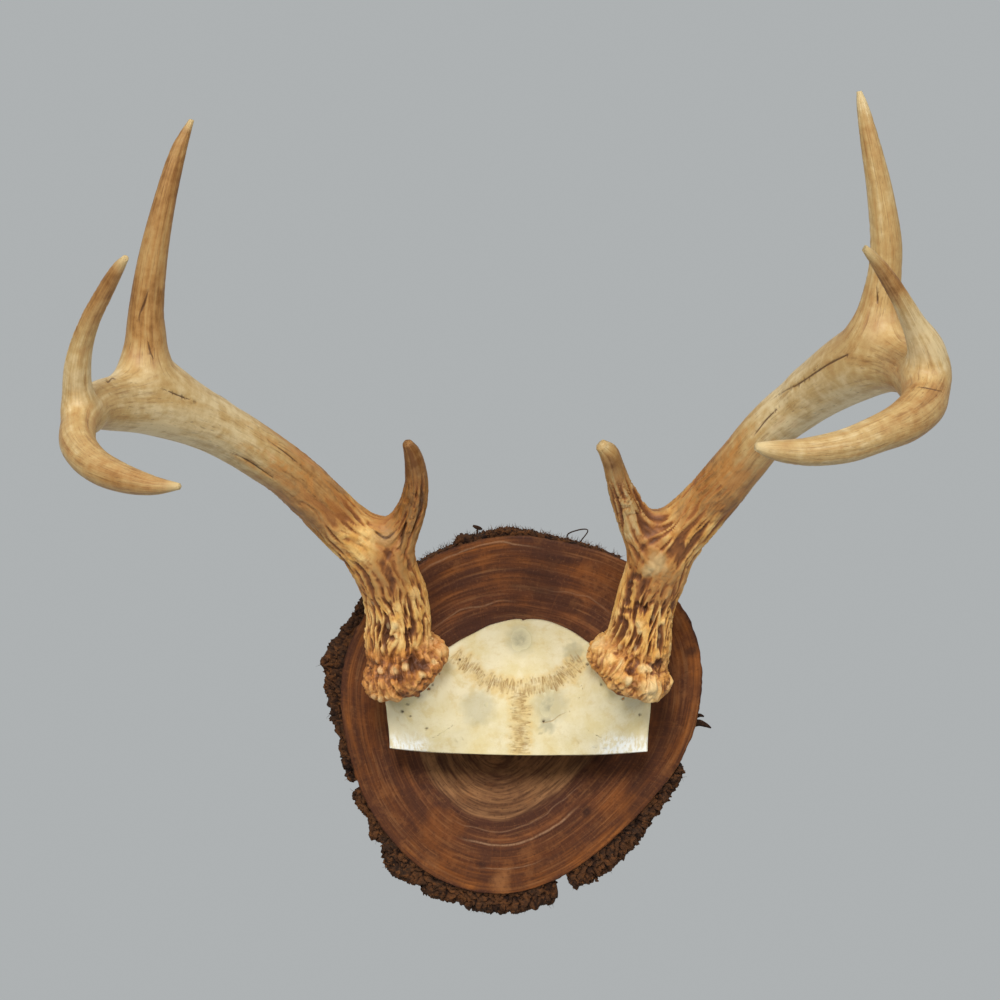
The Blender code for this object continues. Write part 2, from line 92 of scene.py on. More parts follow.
def lattice_noise(points, seed=0):
    """Smooth noise, about -1 to 1, at each row of points; its features are one unit wide."""
    cell = np.floor(points).astype(np.int64)
    t = points - cell
    soft = t * t * t * (t * (t * 6 - 15) + 10)
    total = np.zeros(len(points))
    for corner in itertools.product((0, 1), repeat=3):
        at = cell + corner
        mixed = (at[:, 0] * 73856093) ^ (at[:, 1] * 19349663) ^ (at[:, 2] * 83492791) ^ (seed * 2654435761)
        mixed = (mixed ^ (mixed >> 13)) * 1274126177 & 0x7FFFFFFF
        slope = np.stack([((mixed >> shift) & 255) / 127.5 - 1 for shift in (3, 11, 19)], axis=1)
        weight = np.prod(np.where(corner, soft, 1 - soft), axis=1)
        total += weight * (slope * (t - corner)).sum(1)
    return total * 1.6


def object_from(name, points_mm, faces):
    """A linked mesh object from points in mm."""
    mesh = bpy.data.meshes.new(name)
    mesh.from_pydata((np.asarray(points_mm) * MM).tolist(), [], faces)
    obj = bpy.data.objects.new(name, mesh)
    bpy.context.scene.collection.objects.link(obj)
    return obj


def face_outward(obj):
    """Turns a closed mesh's faces outward."""
    bm = bmesh.new()
    bm.from_mesh(obj.data)
    bm.normal_update()
    bmesh.ops.recalc_face_normals(bm, faces=bm.faces)
    bm.to_mesh(obj.data)
    bm.free()
    return obj


def applied(obj):
    """Applies an object's modifiers by taking its evaluated mesh."""
    depsgraph = bpy.context.evaluated_depsgraph_get()
    mesh = bpy.data.meshes.new_from_object(obj.evaluated_get(depsgraph))
    obj.modifiers.clear()
    old, obj.data = obj.data, mesh
    bpy.data.meshes.remove(old)
    return obj


def points_of(mesh):
    """A mesh's points in mm, one row each."""
    flat = np.empty(len(mesh.vertices) * 3, np.float32)
    mesh.vertices.foreach_get("co", flat)
    return flat.reshape(-1, 3).astype(float) / MM


def move_points(mesh, points):
    """Puts a mesh's points at the given places in mm."""
    mesh.vertices.foreach_set("co", (points * MM).ravel())
    mesh.update()


def store(mesh, name, values):
    """Keeps one number, or one vector, for each point of a mesh as a named attribute."""
    values = np.asarray(values, np.float32)
    kind, field = ("FLOAT", "value") if values.ndim == 1 else ("FLOAT_VECTOR", "vector")
    mesh.attributes.new(name, kind, "POINT").data.foreach_set(field, values.ravel())


def quads_between(rings, closed=True):
    """Faces between rings of points, each an array of point numbers."""
    faces = []
    for ring, following in zip(rings, rings[1:]):
        last = len(ring) if closed else len(ring) - 1
        for i in range(last):
            j = (i + 1) % len(ring)
            faces.append((ring[i], ring[j], following[j], following[i]))
    return faces


def ring_mesh(name, rings):
    """A closed mesh from rings of points in mm, its first and last ring each filled by one face."""
    size = len(rings[0])
    numbers = [list(range(i * size, (i + 1) * size)) for i in range(len(rings))]
    faces = quads_between(numbers) + [tuple(numbers[0]), tuple(numbers[-1])]
    return face_outward(object_from(name, np.vstack(rings), faces))


def dress(obj, material):
    """Gives an object one material."""
    obj.data.materials.clear()
    obj.data.materials.append(material)


def feed(tree, socket, value):
    """Links a socket's value, or sets a constant one."""
    if isinstance(value, bpy.types.NodeSocket):
        tree.links.new(value, socket)
    elif isinstance(value, tuple) and len(value) == 3 and len(socket.default_value) == 4:
        socket.default_value = (*value, 1.0)
    else:
        socket.default_value = value


def add_node(tree, kind, feeds, **settings):
    """Adds a node with its settings and what feeds its inputs, and returns its outputs."""
    node = tree.nodes.new(kind)
    for name, value in settings.items():
        setattr(node, name, value)
    for key, value in feeds.items():
        feed(tree, node.inputs[key], value)
    return node.outputs


class Finish:
    """A procedural material under construction: short calls add nodes to it and return sockets."""

    def __init__(self, name):
        self.material = bpy.data.materials.new(name)
        self.material.use_nodes = True
        self.tree = self.material.node_tree
        self.shader = self.tree.nodes["Principled BSDF"]
        self.place = self.tree.nodes.new("ShaderNodeTexCoord").outputs["Object"]

    def attribute(self, name, vector=False):
        """A named attribute's number or vector."""
        outputs = add_node(self.tree, "ShaderNodeAttribute", {}, attribute_name=name)
        return outputs["Vector" if vector else "Fac"]

    def maths(self, operation, a, b=0.0):
        """One sum on two numbers."""
        return add_node(self.tree, "ShaderNodeMath", {0: a, 1: b}, operation=operation)[0]

    def ramp(self, value, start, end, low=0.0, high=1.0):
        """A number carried from start..end to low..high, held at both ends."""
        feeds = dict(enumerate((value, start, end, low, high)))
        return add_node(self.tree, "ShaderNodeMapRange", feeds)["Result"]

    def mix(self, amount, first, second, how="MIX"):
        """Two colours mixed by an amount."""
        feeds = {0: amount, 6: first, 7: second}
        return add_node(self.tree, "ShaderNodeMix", feeds, data_type="RGBA", blend_type=how)[2]

    def coat(self, colour, *layers):
        """Tints laid over a colour. Each layer is a number, where it starts and is full, strength, tint
        and, for some, a number that masks the layer."""
        for value, start, full, strength, tint, *mask in layers:
            amount = self.ramp(value, start, full, 0.0, strength)
            if mask:
                amount = self.maths("MULTIPLY", mask[0], amount)
            colour = self.mix(amount, colour, tint)
        return colour

    def steps(self, value, colours):
        """A colour read from (position, colour) steps."""
        node = self.tree.nodes.new("ShaderNodeValToRGB")
        for position, _ in colours[1:-1]:
            node.color_ramp.elements.new(position)
        for element, (position, colour) in zip(node.color_ramp.elements, colours):
            element.position = position
            element.color = (*colour, 1.0)
        self.tree.links.new(value, node.inputs[0])
        return node.outputs[0]

    def noise(self, size, detail=3.0, roughness=0.55, at=None, stretch=(1.0, 1.0, 1.0)):
        """Noise with features of size mm, drawn out along the coordinates by stretch below 1."""
        feeds = {"Vector": self.place if at is None else at, "Scale": stretch}
        feeds = {"Vector": add_node(self.tree, "ShaderNodeMapping", feeds)[0], "Scale": 1 / (size * MM),
                 "Detail": detail, "Roughness": roughness}
        return add_node(self.tree, "ShaderNodeTexNoise", feeds)["Fac"]

    def away_from(self, x, z, radius):
        """Distance across the front from (x, z) in mm, in radii."""
        feeds = {0: self.place, 1: (1 / radius / MM, 0.0, 1 / radius / MM)}
        flat = add_node(self.tree, "ShaderNodeVectorMath", feeds, operation="MULTIPLY")[0]
        feeds = {0: flat, 1: (x / radius, 0.0, z / radius)}
        return add_node(self.tree, "ShaderNodeVectorMath", feeds, operation="DISTANCE")["Value"]

    def close(self, colour, roughness, height=None, depth=0.3, strength=0.5, specular=0.4):
        """Feeds the shader; height is a bump pattern, depth mm deep."""
        feed(self.tree, self.shader.inputs["Base Color"], colour)
        feed(self.tree, self.shader.inputs["Roughness"], roughness)
        self.shader.inputs["Specular IOR Level"].default_value = specular
        if height is not None:
            feeds = {"Height": height, "Distance": depth * MM, "Strength": strength}
            bump = add_node(self.tree, "ShaderNodeBump", feeds)["Normal"]
            self.tree.links.new(bump, self.shader.inputs["Normal"])
        return self.material


def slice_outline(degrees, extra=0.0):
    """Points (x, z) at angles round the slice's centre, extra mm outside its sawn edge."""
    degrees = np.asarray(degrees, float)
    at = degrees % 360 / 15
    i = at.astype(int)
    t = at - i
    radius = curve_through(*(np.take(SLICE_RADII, i + k, mode="wrap") for k in (-1, 0, 1, 2)), t) + extra
    turn = np.radians(degrees)
    return np.stack([radius * np.cos(turn), SLICE_CENTRE_Z + radius * np.sin(turn)], axis=1)


def away_from_centre(points):
    """The way outward from the slice's centre, across its face, at each point."""
    away = points[:, (0, 2)] - (0, SLICE_CENTRE_Z)
    return away / np.linalg.norm(away, axis=1, keepdims=True)


def slice_ring(share, y, degrees=np.arange(0, 360, 1.0)):
    """One growth ring of the slice in the plane y: share is 0 at the pith and 1 at the edge."""
    flat = np.array(PITH) + share * (slice_outline(degrees) - PITH)
    return np.column_stack([flat[:, 0], np.full(len(flat), y), flat[:, 1]])


edge_turns = np.radians([15, 35, 60, 90])
edge_shares = [1 - SLICE_EDGE_ROUND / RING_SCALE * (1 - math.sin(turn)) for turn in edge_turns]
edge_depths = [SLICE_EDGE_ROUND * (1 - math.cos(turn)) for turn in edge_turns]
front_rings = [(share, -SLICE_THICKNESS) for share in np.linspace(0.004, 0.985, 60)]
front_rings += [(share, depth - SLICE_THICKNESS) for share, depth in zip(edge_shares, edge_depths)]
side_rings = [(1.0, y) for y in np.linspace(-SLICE_THICKNESS + 2.5, -2.5, 9)]
back_rings = [(share, -y - SLICE_THICKNESS) for share, y in reversed(front_rings)]
log_rings = front_rings + side_rings + back_rings
log_slice = ring_mesh("sawn_log_slice", [slice_ring(share, y) for share, y in log_rings])
growth = np.repeat([share for share, _ in log_rings], 360)
round_the_log = np.tile(np.radians(np.arange(360)), len(log_rings))
store(log_slice.data, "growth", growth)
store(log_slice.data, "turn", round_the_log / (2 * math.pi))
store(log_slice.data, "wood", MM * RING_SCALE * np.column_stack(
    [growth, 0.9 * np.cos(round_the_log), 0.9 * np.sin(round_the_log)]))
points = points_of(log_slice.data)
rim = fade(growth, 0.99, 1.0)
rim_noise = lattice_noise(points / (4.0, 12.0, 4.0), 3) + 0.5 * lattice_noise(points / (1.6, 7.0, 1.6), 4)
points[:, (0, 2)] += away_from_centre(points) * (rim * (0.5 * rim_noise - 0.3))[:, None]
move_points(log_slice.data, points)


def stadium_cutter(name, width, height, depth):
    """A slot with round ends let into the slice's back round the hanger."""
    turns = np.radians(np.arange(-90, 270, 10.0))
    flat = np.stack([height / 2 * np.cos(turns) + np.where(np.cos(turns) > 0, 1, -1) * (width - height) / 2,
                     HANGER_Z + height / 2 * np.sin(turns)], axis=1)
    rings = [np.column_stack([flat[:, 0], np.full(len(flat), y), flat[:, 1]]) for y in (-depth, 1.0)]
    return ring_mesh(name, rings)


for slot in (stadium_cutter("hanger_pocket", 44.6, 16.6, 1.9), stadium_cutter("nail_room", 16.0, 14.0, 9.0)):
    pocket = log_slice.modifiers.new(slot.name, "BOOLEAN")
    pocket.object = slot
    applied(log_slice)
    bpy.data.objects.remove(slot, do_unlink=True)

wood = Finish("oiled log")
grain = wood.attribute("wood", vector=True)
share = wood.attribute("growth")
turn = wood.attribute("turn")
wander = wood.noise(26.0, 2.0)
share = wood.maths("ADD", share, wood.ramp(wander, 0.3, 0.7, -0.022, 0.022))
year_rings = wood.noise(1.1, 2.0, at=grain, stretch=(1, 0.035, 0.035))
wide_rings = wood.noise(4.5, 2.0, at=grain, stretch=(1, 0.10, 0.10))
patches = wood.noise(26.0, 3.0, 0.6)
stains = wood.noise(9.0, 4.0, 0.65)
rays = wood.noise(1.0, 3.0, at=grain, stretch=(0.06, 1, 1))
flecks = wood.noise(1.4, 4.0, 0.65)
heartwood = wood.ramp(share, 0.52, 0.55, 1.0, 0.0)
sapwood = wood.maths("SUBTRACT", 1.0, heartwood)
colour = wood.coat(
    wood.steps(share, BAND_COLOURS),
    (wide_rings, 0.40, 0.62, 0.72, (0.060, 0.022, 0.012)),
    (year_rings, 0.46, 0.66, 0.62, (0.045, 0.017, 0.010)),
    (year_rings, 0.44, 0.30, 0.38, (0.300, 0.145, 0.062)),
    (patches, 0.46, 0.62, 0.60, (0.060, 0.022, 0.014), sapwood),
    (patches, 0.46, 0.32, 0.40, (0.270, 0.088, 0.020), sapwood),
    (stains, 0.54, 0.70, 0.45, (0.065, 0.025, 0.016)),
    (stains, 0.44, 0.32, 0.30, (0.270, 0.110, 0.040)),
    (rays, 0.55, 0.78, 0.20, (0.260, 0.090, 0.025), sapwood))
for ring, width, first, last, strength in LIGHT_RINGS:
    near = wood.maths("ABSOLUTE", wood.maths("SUBTRACT", share, ring))
    ends = wood.maths("MULTIPLY", wood.ramp(turn, first, first + 0.03), wood.ramp(turn, last, last - 0.03))
    streak = wood.maths("MULTIPLY", ends, wood.ramp(near, 0.0, width, strength, 0.0))
    streak = wood.maths("MULTIPLY", streak, wood.ramp(flecks, 0.35, 0.55, 0.35, 1.0))
    colour = wood.mix(streak, colour, (0.330, 0.195, 0.120))
for x, z, radius, strength, tint in WOOD_MARKS:
    reach = wood.maths("ADD", wood.away_from(x, z, radius), wood.ramp(stains, 0.3, 0.7, -0.45, 0.45))
    colour = wood.coat(colour, (reach, 1.2, 0.4, strength, tint))
colour = wood.coat(colour, (flecks, 0.56, 0.70, 0.50, (0.030, 0.012, 0.007)),
                   (flecks, 0.42, 0.30, 0.30, (0.260, 0.115, 0.050)))
colour = wood.mix(1.0, colour, (1.0, 0.93, 0.80), "MULTIPLY")
relief = wood.maths("ADD", year_rings, wood.maths("MULTIPLY", flecks, 0.6))
gloss = wood.ramp(year_rings, 0.3, 0.7, 0.50, 0.68)
dress(log_slice, wood.close(colour, gloss, relief, 0.3, 0.4, specular=0.12))
log_slice.data.shade_smooth()
log_slice.data.set_sharp_from_angle(angle=math.radians(50))
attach(log_slice, "root")
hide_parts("log_slice")

# ---------------------------------------------------------------------------------------------
# Bark. What is left of the log's dark bark: four crumbling stretches on the slice's edge, thick and
# lumpy at the left and below, a thin hairy fringe on top, with loose flakes, fibres and splinters.

BARK_RECESS = 1.0             # from the slice's faces to the bark's
BARK_STEP = 0.38              # degrees between the sections of a strip
FLAKES_PER_M2 = 60000
# name: start and end angle, then (angle, thickness) all along it
BARK = {
    "bark_top": (56, 127, ((56, 0.5), (68, 0.8), (78, 1.4), (86, 2.4), (95, 3.4), (102, 3.0), (105, 4.2),
                           (108, 5.2), (110, 1.2), (118, 0.8), (127, 0.5))),
    "bark_left": (129, 203, ((129, 3.0), (141, 6.0), (150, 5.0), (157, 7.5), (161, 9.5), (164, 11.0),
                             (168, 8.5), (175, 6.5), (182, 5.3), (188, 3.2), (193, 4.6), (203, 5.0))),
    "bark_bottom": (205, 284, ((205, 5.4), (212, 5.0), (215, 3.4), (220, 7.5), (224, 5.4), (227, 9.5),
                               (233, 12.4), (241, 8.0), (245, 10.5), (253, 7.8), (258, 10.0), (265, 10.0),
                               (270, 10.6), (280, 10.6), (284, 8.5))),
    "bark_lower_right": (287, 343, ((287, 9.0), (295, 11.4), (303, 10.8), (315, 10.4), (321, 7.0),
                                    (331, 6.5), (343, 4.5))),
}

# Fibres and splinters that stand off the bark: points (x, y, z, radius)
STRAYS = {
    "bark_top": (((23.5, -12, 84.5, 0.45), (24.7, -12, 89.3, 0.40), (25.4, -12, 92.4, 0.38),
                  (31, -13, 94.4, 0.35), (34.6, -13, 94.4, 0.33), (34.2, -13, 92.4, 0.33),
                  (29.5, -12, 86.5, 0.35), (27.5, -12, 83.5, 0.35)),
                 ((-19.2, -14, 88.0, 0.7), (-18.8, -14, 92.0, 0.5), (-18.9, -14, 94.4, 0.6)),
                 ((-21.0, -14, 96.4, 0.5), (-19.3, -14, 95.6, 1.1), (-17.6, -14, 95.0, 1.0),
                  (-16.4, -14, 94.6, 0.4))),
    "bark_lower_right": (((82.0, -12, -2.0, 1.6), (88.0, -12, 0.5, 1.9), (92.0, -12, -0.5, 1.3),
                          (94.8, -12, -2.0, 0.4)),
                         ((84.0, -10, 2.0, 1.4), (89.0, -10, 4.0, 1.1), (91.5, -10, 3.4, 0.4))),
}


def rough_noise(points, seed):
    """Crumbly noise: lumps a few mm across with smaller crumbs on them."""
    lumps = lattice_noise(points / (4.5, 6.5, 4.5), seed)
    return (lumps + 0.6 * lattice_noise(points / (2.1, 3.4, 2.1), seed + 1)
            + 0.35 * lattice_noise(points / 1.0, seed + 2))


def bark_strip(name, start, end, thicknesses, seed):
    """A ragged strip of bark from closed sections; painted shade in its cracks and dips, and its outer side,
    kept as attributes.
    """
    degrees = np.arange(start + 0.4, end - 0.4, BARK_STEP)
    thickness = np.interp(degrees, *zip(*thicknesses))
    across = np.linspace(0, 1, 15)
    deep = np.linspace(0, 1, 24)
    # once round the section: over the front, down the outside, back along the wood
    sides = len(deep) - 2
    outs = np.concatenate([across, np.ones(sides), across[::-1], np.zeros(sides)])
    depths = np.concatenate([0 * across, deep[1:-1], np.ones(len(across)), deep[::-1][1:-1]])
    front, back = BARK_RECESS - SLICE_THICKNESS, -BARK_RECESS
    rings = []
    for angle, thick in zip(degrees, thickness):
        ends = fade(min(angle - start, end - angle), 0.0, 2.0)
        round_over = 1 - 0.35 * (2 * np.abs(depths - 0.5)) ** 6
        extra = -0.8 + outs * (thick * (0.55 + 0.45 * ends) + 0.8) * round_over
        ys = front + depths * (back - front)
        flat = np.vstack([slice_outline([angle], e) for e in extra])
        rings.append(np.column_stack([flat[:, 0], ys, flat[:, 1]]))
    strip = ring_mesh(f"old_{name}", rings)
    points = points_of(strip.data)
    size = len(outs)
    share = np.tile(outs, len(degrees))
    depth = np.tile(depths, len(degrees))
    thick = np.repeat(thickness, size)
    away = away_from_centre(points)
    lumps = rough_noise(points, seed)
    crack = np.abs(lattice_noise(points / (3.4, 8.0, 3.4), seed + 5))
    crack_depth = fade(crack, 0.16, 0.0)
    amount = np.minimum(1.7, 0.25 + 0.22 * thick)
    push = share * amount * (0.95 * lumps - 1.3 * crack_depth - 0.25)
    points[:, (0, 2)] += away * push[:, None]
    face = fade(np.abs(depth - 0.5), 0.46, 0.5) * fade(share, 0.06, 0.35)
    crumbled = 0.9 - 0.9 * rough_noise(points[:, (0, 2, 1)], seed + 9)
    sunk = face * np.clip(crumbled + 1.2 * crack_depth, 0, 3.2)
    points[:, 1] += np.where(depth < 0.5, sunk, -sunk) * np.minimum(1, thick / 3)
    points[:, 1] = np.clip(points[:, 1], -SLICE_THICKNESS + 0.2, -0.6)
    move_points(strip.data, points)
    # painted shade: the cracks and the low ground between the lumps, which the bark's colour darkens
    store(strip.data, "crack", np.clip(crack_depth + fade(lumps, 0.0, -0.8) * 0.7, 0, 1))
    store(strip.data, "outer", share)
    strip.data.shade_smooth()
    return strip


bark = Finish("old bark")
loose = bark.attribute("loose")
broad = bark.noise(11.0, 3.0, 0.6)
crumbs = bark.noise(1.5, 5.0, 0.7)
fibres = bark.noise(1.3, 3.0, 0.6, stretch=(0.5, 0.15, 1))
colour = bark.coat(
    bark.mix(bark.ramp(broad, 0.36, 0.60), (0.088, 0.034, 0.012), (0.036, 0.018, 0.010)),
    (crumbs, 0.50, 0.68, 0.5, (0.120, 0.052, 0.021)),
    (fibres, 0.50, 0.64, 0.55, (0.160, 0.058, 0.016)),
    (crumbs, 0.46, 0.34, 0.85, (0.018, 0.009, 0.006)),
    # painted shade, near black, in the cracks and the low ground between the lumps
    (bark.attribute("crack"), 0.2, 0.8, 0.9, (0.010, 0.005, 0.004)),
    (loose, 0.60, 1.0, 0.7, (0.180, 0.074, 0.025)),
    (loose, 0.30, 0.05, 0.7, (0.022, 0.011, 0.007)))
bark_material = bark.close(colour, 0.85, bark.maths("ADD", crumbs, fibres), 0.8, 0.7, specular=0.12)


def scatter_nodes():
    """Node group that scatters one small piece over a surface and joins both."""
    group = bpy.data.node_groups.new("scatter", "GeometryNodeTree")
    group.interface.new_socket("Surface", in_out="INPUT", socket_type="NodeSocketGeometry")
    group.interface.new_socket("Covered", in_out="OUTPUT", socket_type="NodeSocketGeometry")
    for name, kind in (("Piece", "Object"), ("Density", "Float"), ("Seed", "Int"), ("Smallest", "Float"),
                       ("Largest", "Float"), ("Lean", "Float"), ("Material", "Material")):
        group.interface.new_socket(name, in_out="INPUT", socket_type="NodeSocket" + kind)
    entry = group.nodes.new("NodeGroupInput").outputs
    share = add_node(group, "GeometryNodeInputNamedAttribute", {"Name": "cover"},
                     data_type="FLOAT")["Attribute"]
    density = add_node(group, "ShaderNodeMath", {0: share, 1: entry["Density"]}, operation="MULTIPLY")[0]
    points = add_node(group, "GeometryNodeDistributePointsOnFaces",
                      {"Mesh": entry["Surface"], "Density": density, "Seed": entry["Seed"]})
    turn = add_node(group, "FunctionNodeRandomValue",
                    {"Min": (-1.0, -1.0, -3.14), "Max": (1.0, 1.0, 3.14), "Seed": entry["Seed"]},
                    data_type="FLOAT_VECTOR")["Value"]
    lean = add_node(group, "ShaderNodeVectorMath", {0: turn, "Scale": entry["Lean"]}, operation="SCALE")[0]
    tilt = add_node(group, "FunctionNodeEulerToRotation", {0: lean})[0]
    rotation = add_node(group, "FunctionNodeRotateRotation", {0: points["Rotation"], 1: tilt},
                        rotation_space="LOCAL")[0]
    size = add_node(group, "FunctionNodeRandomValue",
                    {2: entry["Smallest"], 3: entry["Largest"], "Seed": entry["Seed"]})[1]
    shape = add_node(group, "GeometryNodeObjectInfo", {"Object": entry["Piece"]})["Geometry"]
    feeds = {"Points": points["Points"], "Instance": shape, "Rotation": rotation, "Scale": size}
    pieces = add_node(group, "GeometryNodeInstanceOnPoints", feeds)[0]
    tint = add_node(group, "FunctionNodeRandomValue", {"Seed": 7})[1]
    pieces = add_node(group, "GeometryNodeStoreNamedAttribute",
                      {"Geometry": pieces, "Name": "loose", "Value": tint}, domain="INSTANCE")[0]
    join = group.nodes.new("GeometryNodeJoinGeometry")
    group.links.new(entry["Surface"], join.inputs[0])
    group.links.new(pieces, join.inputs[0])
    realized = add_node(group, "GeometryNodeRealizeInstances", {0: join.outputs[0]})[0]
    coated = add_node(group, "GeometryNodeSetMaterial",
                      {"Geometry": realized, "Material": entry["Material"]})[0]
    add_node(group, "NodeGroupOutput", {0: coated})
    return group


scatter = scatter_nodes()


def cover(obj, piece, density, seed, smallest, largest, lean, material):
    """Scatters a piece over an object where its attribute cover says, density per square metre."""
    modifier = obj.modifiers.new("scatter", "NODES")
    modifier.node_group = scatter
    values = {"Piece": piece, "Density": density, "Seed": seed, "Smallest": smallest, "Largest": largest,
              "Lean": lean, "Material": material}
    for item in scatter.interface.items_tree:
        if item.item_type == "SOCKET" and item.name in values:
            modifier[item.identifier] = values[item.name]
    applied(obj)


def bent_spike(name, length, width, bend, sides=4, steps=4):
    """A tapering fibre that stands up from its foot and bends over."""
    rings = []
    for i in range(steps + 1):
        t = i / steps
        reach = width * (1 - 0.85 * t)
        turns = np.linspace(0, 2 * math.pi, sides, endpoint=False) + 0.4 * i
        rings.append(np.column_stack([bend * t * t + reach * np.cos(turns), reach * np.sin(turns),
                                      np.full(sides, length * t - 0.3)]))
    return ring_mesh(name, rings)


def unit(v):
    """Rows of v made one unit long."""
    return v / np.maximum(np.linalg.norm(v, axis=-1, keepdims=True), 1e-9)


def grow_branch(rows, spacing=2.0):
    """A smooth centreline through rows of (x, y, z, radius), with a frame at each step."""
    rows = np.array(rows, float)
    padded = np.vstack([2 * rows[0] - rows[1], rows, 2 * rows[-1] - rows[-2]])
    dense = []
    for a, b, c, d in zip(padded, padded[1:], padded[2:], padded[3:]):
        t = np.linspace(0, 1, 12, endpoint=False)[:, None]
        dense.append(curve_through(a, b, c, d, t))
    dense = np.vstack([*dense, rows[-1:]])
    run = np.concatenate([[0], np.cumsum(np.linalg.norm(np.diff(dense[:, :3], axis=0), axis=1))])
    along = np.linspace(0, run[-1], max(4, round(run[-1] / spacing)))
    path = np.stack([np.interp(along, run, dense[:, i]) for i in range(4)], axis=1)
    tangent = unit(np.gradient(path[:, :3], axis=0))
    front = np.empty_like(tangent)
    last = np.array((0.0, -1.0, 0.0))
    for i, direction in enumerate(tangent):
        last = unit(last - direction * last.dot(direction))
        front[i] = last
    return SimpleNamespace(centre=path[:, :3], radius=path[:, 3], along=along, tangent=tangent,
                           front=front, side=np.cross(tangent, front),
                           slope=np.gradient(path[:, 3], along))


def tube_shell(branch, sides=20):
    """Points and faces of a closed tube round a branch."""
    turn = np.linspace(0, 2 * math.pi, sides, endpoint=False)
    ring = (np.cos(turn)[None, :, None] * branch.front[:, None]
            + np.sin(turn)[None, :, None] * branch.side[:, None])
    points = (branch.centre[:, None] + ring * branch.radius[:, None, None]).reshape(-1, 3)
    numbers = np.arange(len(points)).reshape(-1, sides).tolist()
    return points, quads_between(numbers) + [tuple(numbers[0][::-1]), tuple(numbers[-1])]


def chip(name, size, seed):
    """A flat broken flake with an uneven edge."""
    rng = np.random.default_rng(seed)
    turns = np.linspace(0, 2 * math.pi, 7, endpoint=False) + rng.uniform(-0.25, 0.25, 7)
    reach = rng.uniform(0.55, 1.0, 7)
    flat = np.column_stack([size[0] * reach * np.cos(turns), size[1] * reach * np.sin(turns)])
    lift = rng.uniform(-0.15, 0.15, 7) * size[0]
    rings = [np.column_stack([flat * grow, lift * grow + up * size[2]]) for grow, up in
             ((0.55, 0.5), (1.0, 0.15), (0.9, -0.35), (0.4, -0.5))]
    return ring_mesh(name, rings)


flake = chip("bark_flake", (1.9, 1.1, 0.7), 5)
crumb = chip("bark_crumb", (0.9, 0.8, 0.8), 8)
fibre = bent_spike("bark_fibre", 3.2, 0.16, 1.2)
for number, (name, (start, end, thicknesses)) in enumerate(BARK.items()):
    strip = bark_strip(name, start, end, thicknesses, 40 + 10 * number)
    points = points_of(strip.data)
    store(strip.data, "loose", np.full(len(points), 0.42))
    outer_side = np.empty(len(points), np.float32)
    strip.data.attributes["outer"].data.foreach_get("value", outer_side)
    clumps = fade(lattice_noise(points / 7.0, 90 + number), -0.25, 0.35)
    store(strip.data, "cover", fade(outer_side, 0.45, 0.9) * clumps * fade(points[:, 1], -2.2, -3.4))
    crumbs_per_m2, fibres_per_m2 = (420000, 200000) if name == "bark_top" else (260000, 15000)
    cover(strip, crumb, crumbs_per_m2, 3 + number, 0.35, 1.15, 1.0, bark_material)
    cover(strip, flake, FLAKES_PER_M2, 13 + number, 0.4, 1.2, 0.8, bark_material)
    cover(strip, fibre, fibres_per_m2, 23 + number, 0.35, 1.1, 0.55, bark_material)
    for rows in STRAYS.get(name, ()):
        stray = face_outward(object_from("stray", *tube_shell(grow_branch(rows, 0.8), 6)))
        stray.data.shade_smooth()
        stray.data.materials.append(bark_material)
        both = [strip, stray]
        with bpy.context.temp_override(active_object=strip, object=strip, selected_editable_objects=both):
            bpy.ops.object.join()
    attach(strip, "root")
    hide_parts(name)
for piece in (flake, crumb, fibre):
    bpy.data.objects.remove(piece, do_unlink=True)

# ---------------------------------------------------------------------------------------------
# Hanger and screws. A zinc-plated keyhole hanger let into the slice's back, held by two screws; the
# three longer screws that hold the skull plate are of the same steel.

steel = Finish("zinc plated steel")
brushing = steel.noise(0.6, 3.0, stretch=(0.1, 1, 1))
colour = steel.mix(steel.ramp(steel.noise(5.0, 3.0), 0.4, 0.65), (0.55, 0.56, 0.57), (0.42, 0.43, 0.43))
steel.shader.inputs["Metallic"].default_value = 1.0
steel_material = steel.close(colour, steel.ramp(brushing, 0.3, 0.7, 0.28, 0.45), brushing, 0.05, 0.3)
for name in ("hanger_plate", "hanger_screw_left", "hanger_screw_right", "screw_top", "screw_left",
             "screw_right"):
    dress(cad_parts[name], steel_material)

# ---------------------------------------------------------------------------------------------
# Mounting block. A plain block of softwood behind the skull plate, shaped to its hollow side; the
# screws pass through it into the slice.

pine = Finish("softwood")
lines = pine.noise(1.6, 3.0, stretch=(0.06, 0.4, 1))
colour = pine.mix(pine.ramp(lines, 0.35, 0.65), (0.56, 0.40, 0.23), (0.40, 0.25, 0.12))
dress(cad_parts["mounting_block"], pine.close(colour, 0.7, lines, 0.15, 0.3))

# ---------------------------------------------------------------------------------------------
# Skull plate. The deer's forehead, cleaned and sawn flat below, with both pedicles under the burrs.
# Chalky cream bone with yellow stains, small pores and the two wriggling seams between its bones.

PROBE = 0.05                  # mm between the places where a field's slope is taken
PLATE_THICKNESS = 7.0
PLATE_EDGE_ROUND = 0.7
PLATE_STAND_OFF = 55.0        # from the wall to the outermost bone
PLATE_HALF_WIDTH = 62.0
PLATE_SIDE_FALL = 8.0         # how far the sides fall back
PLATE_TOP_FALL = 26.0         # how far the top falls back
PLATE_BEND_Z = 5.0            # where it starts to fall back towards the top
PLATE_BEND_HEIGHT = 46.0
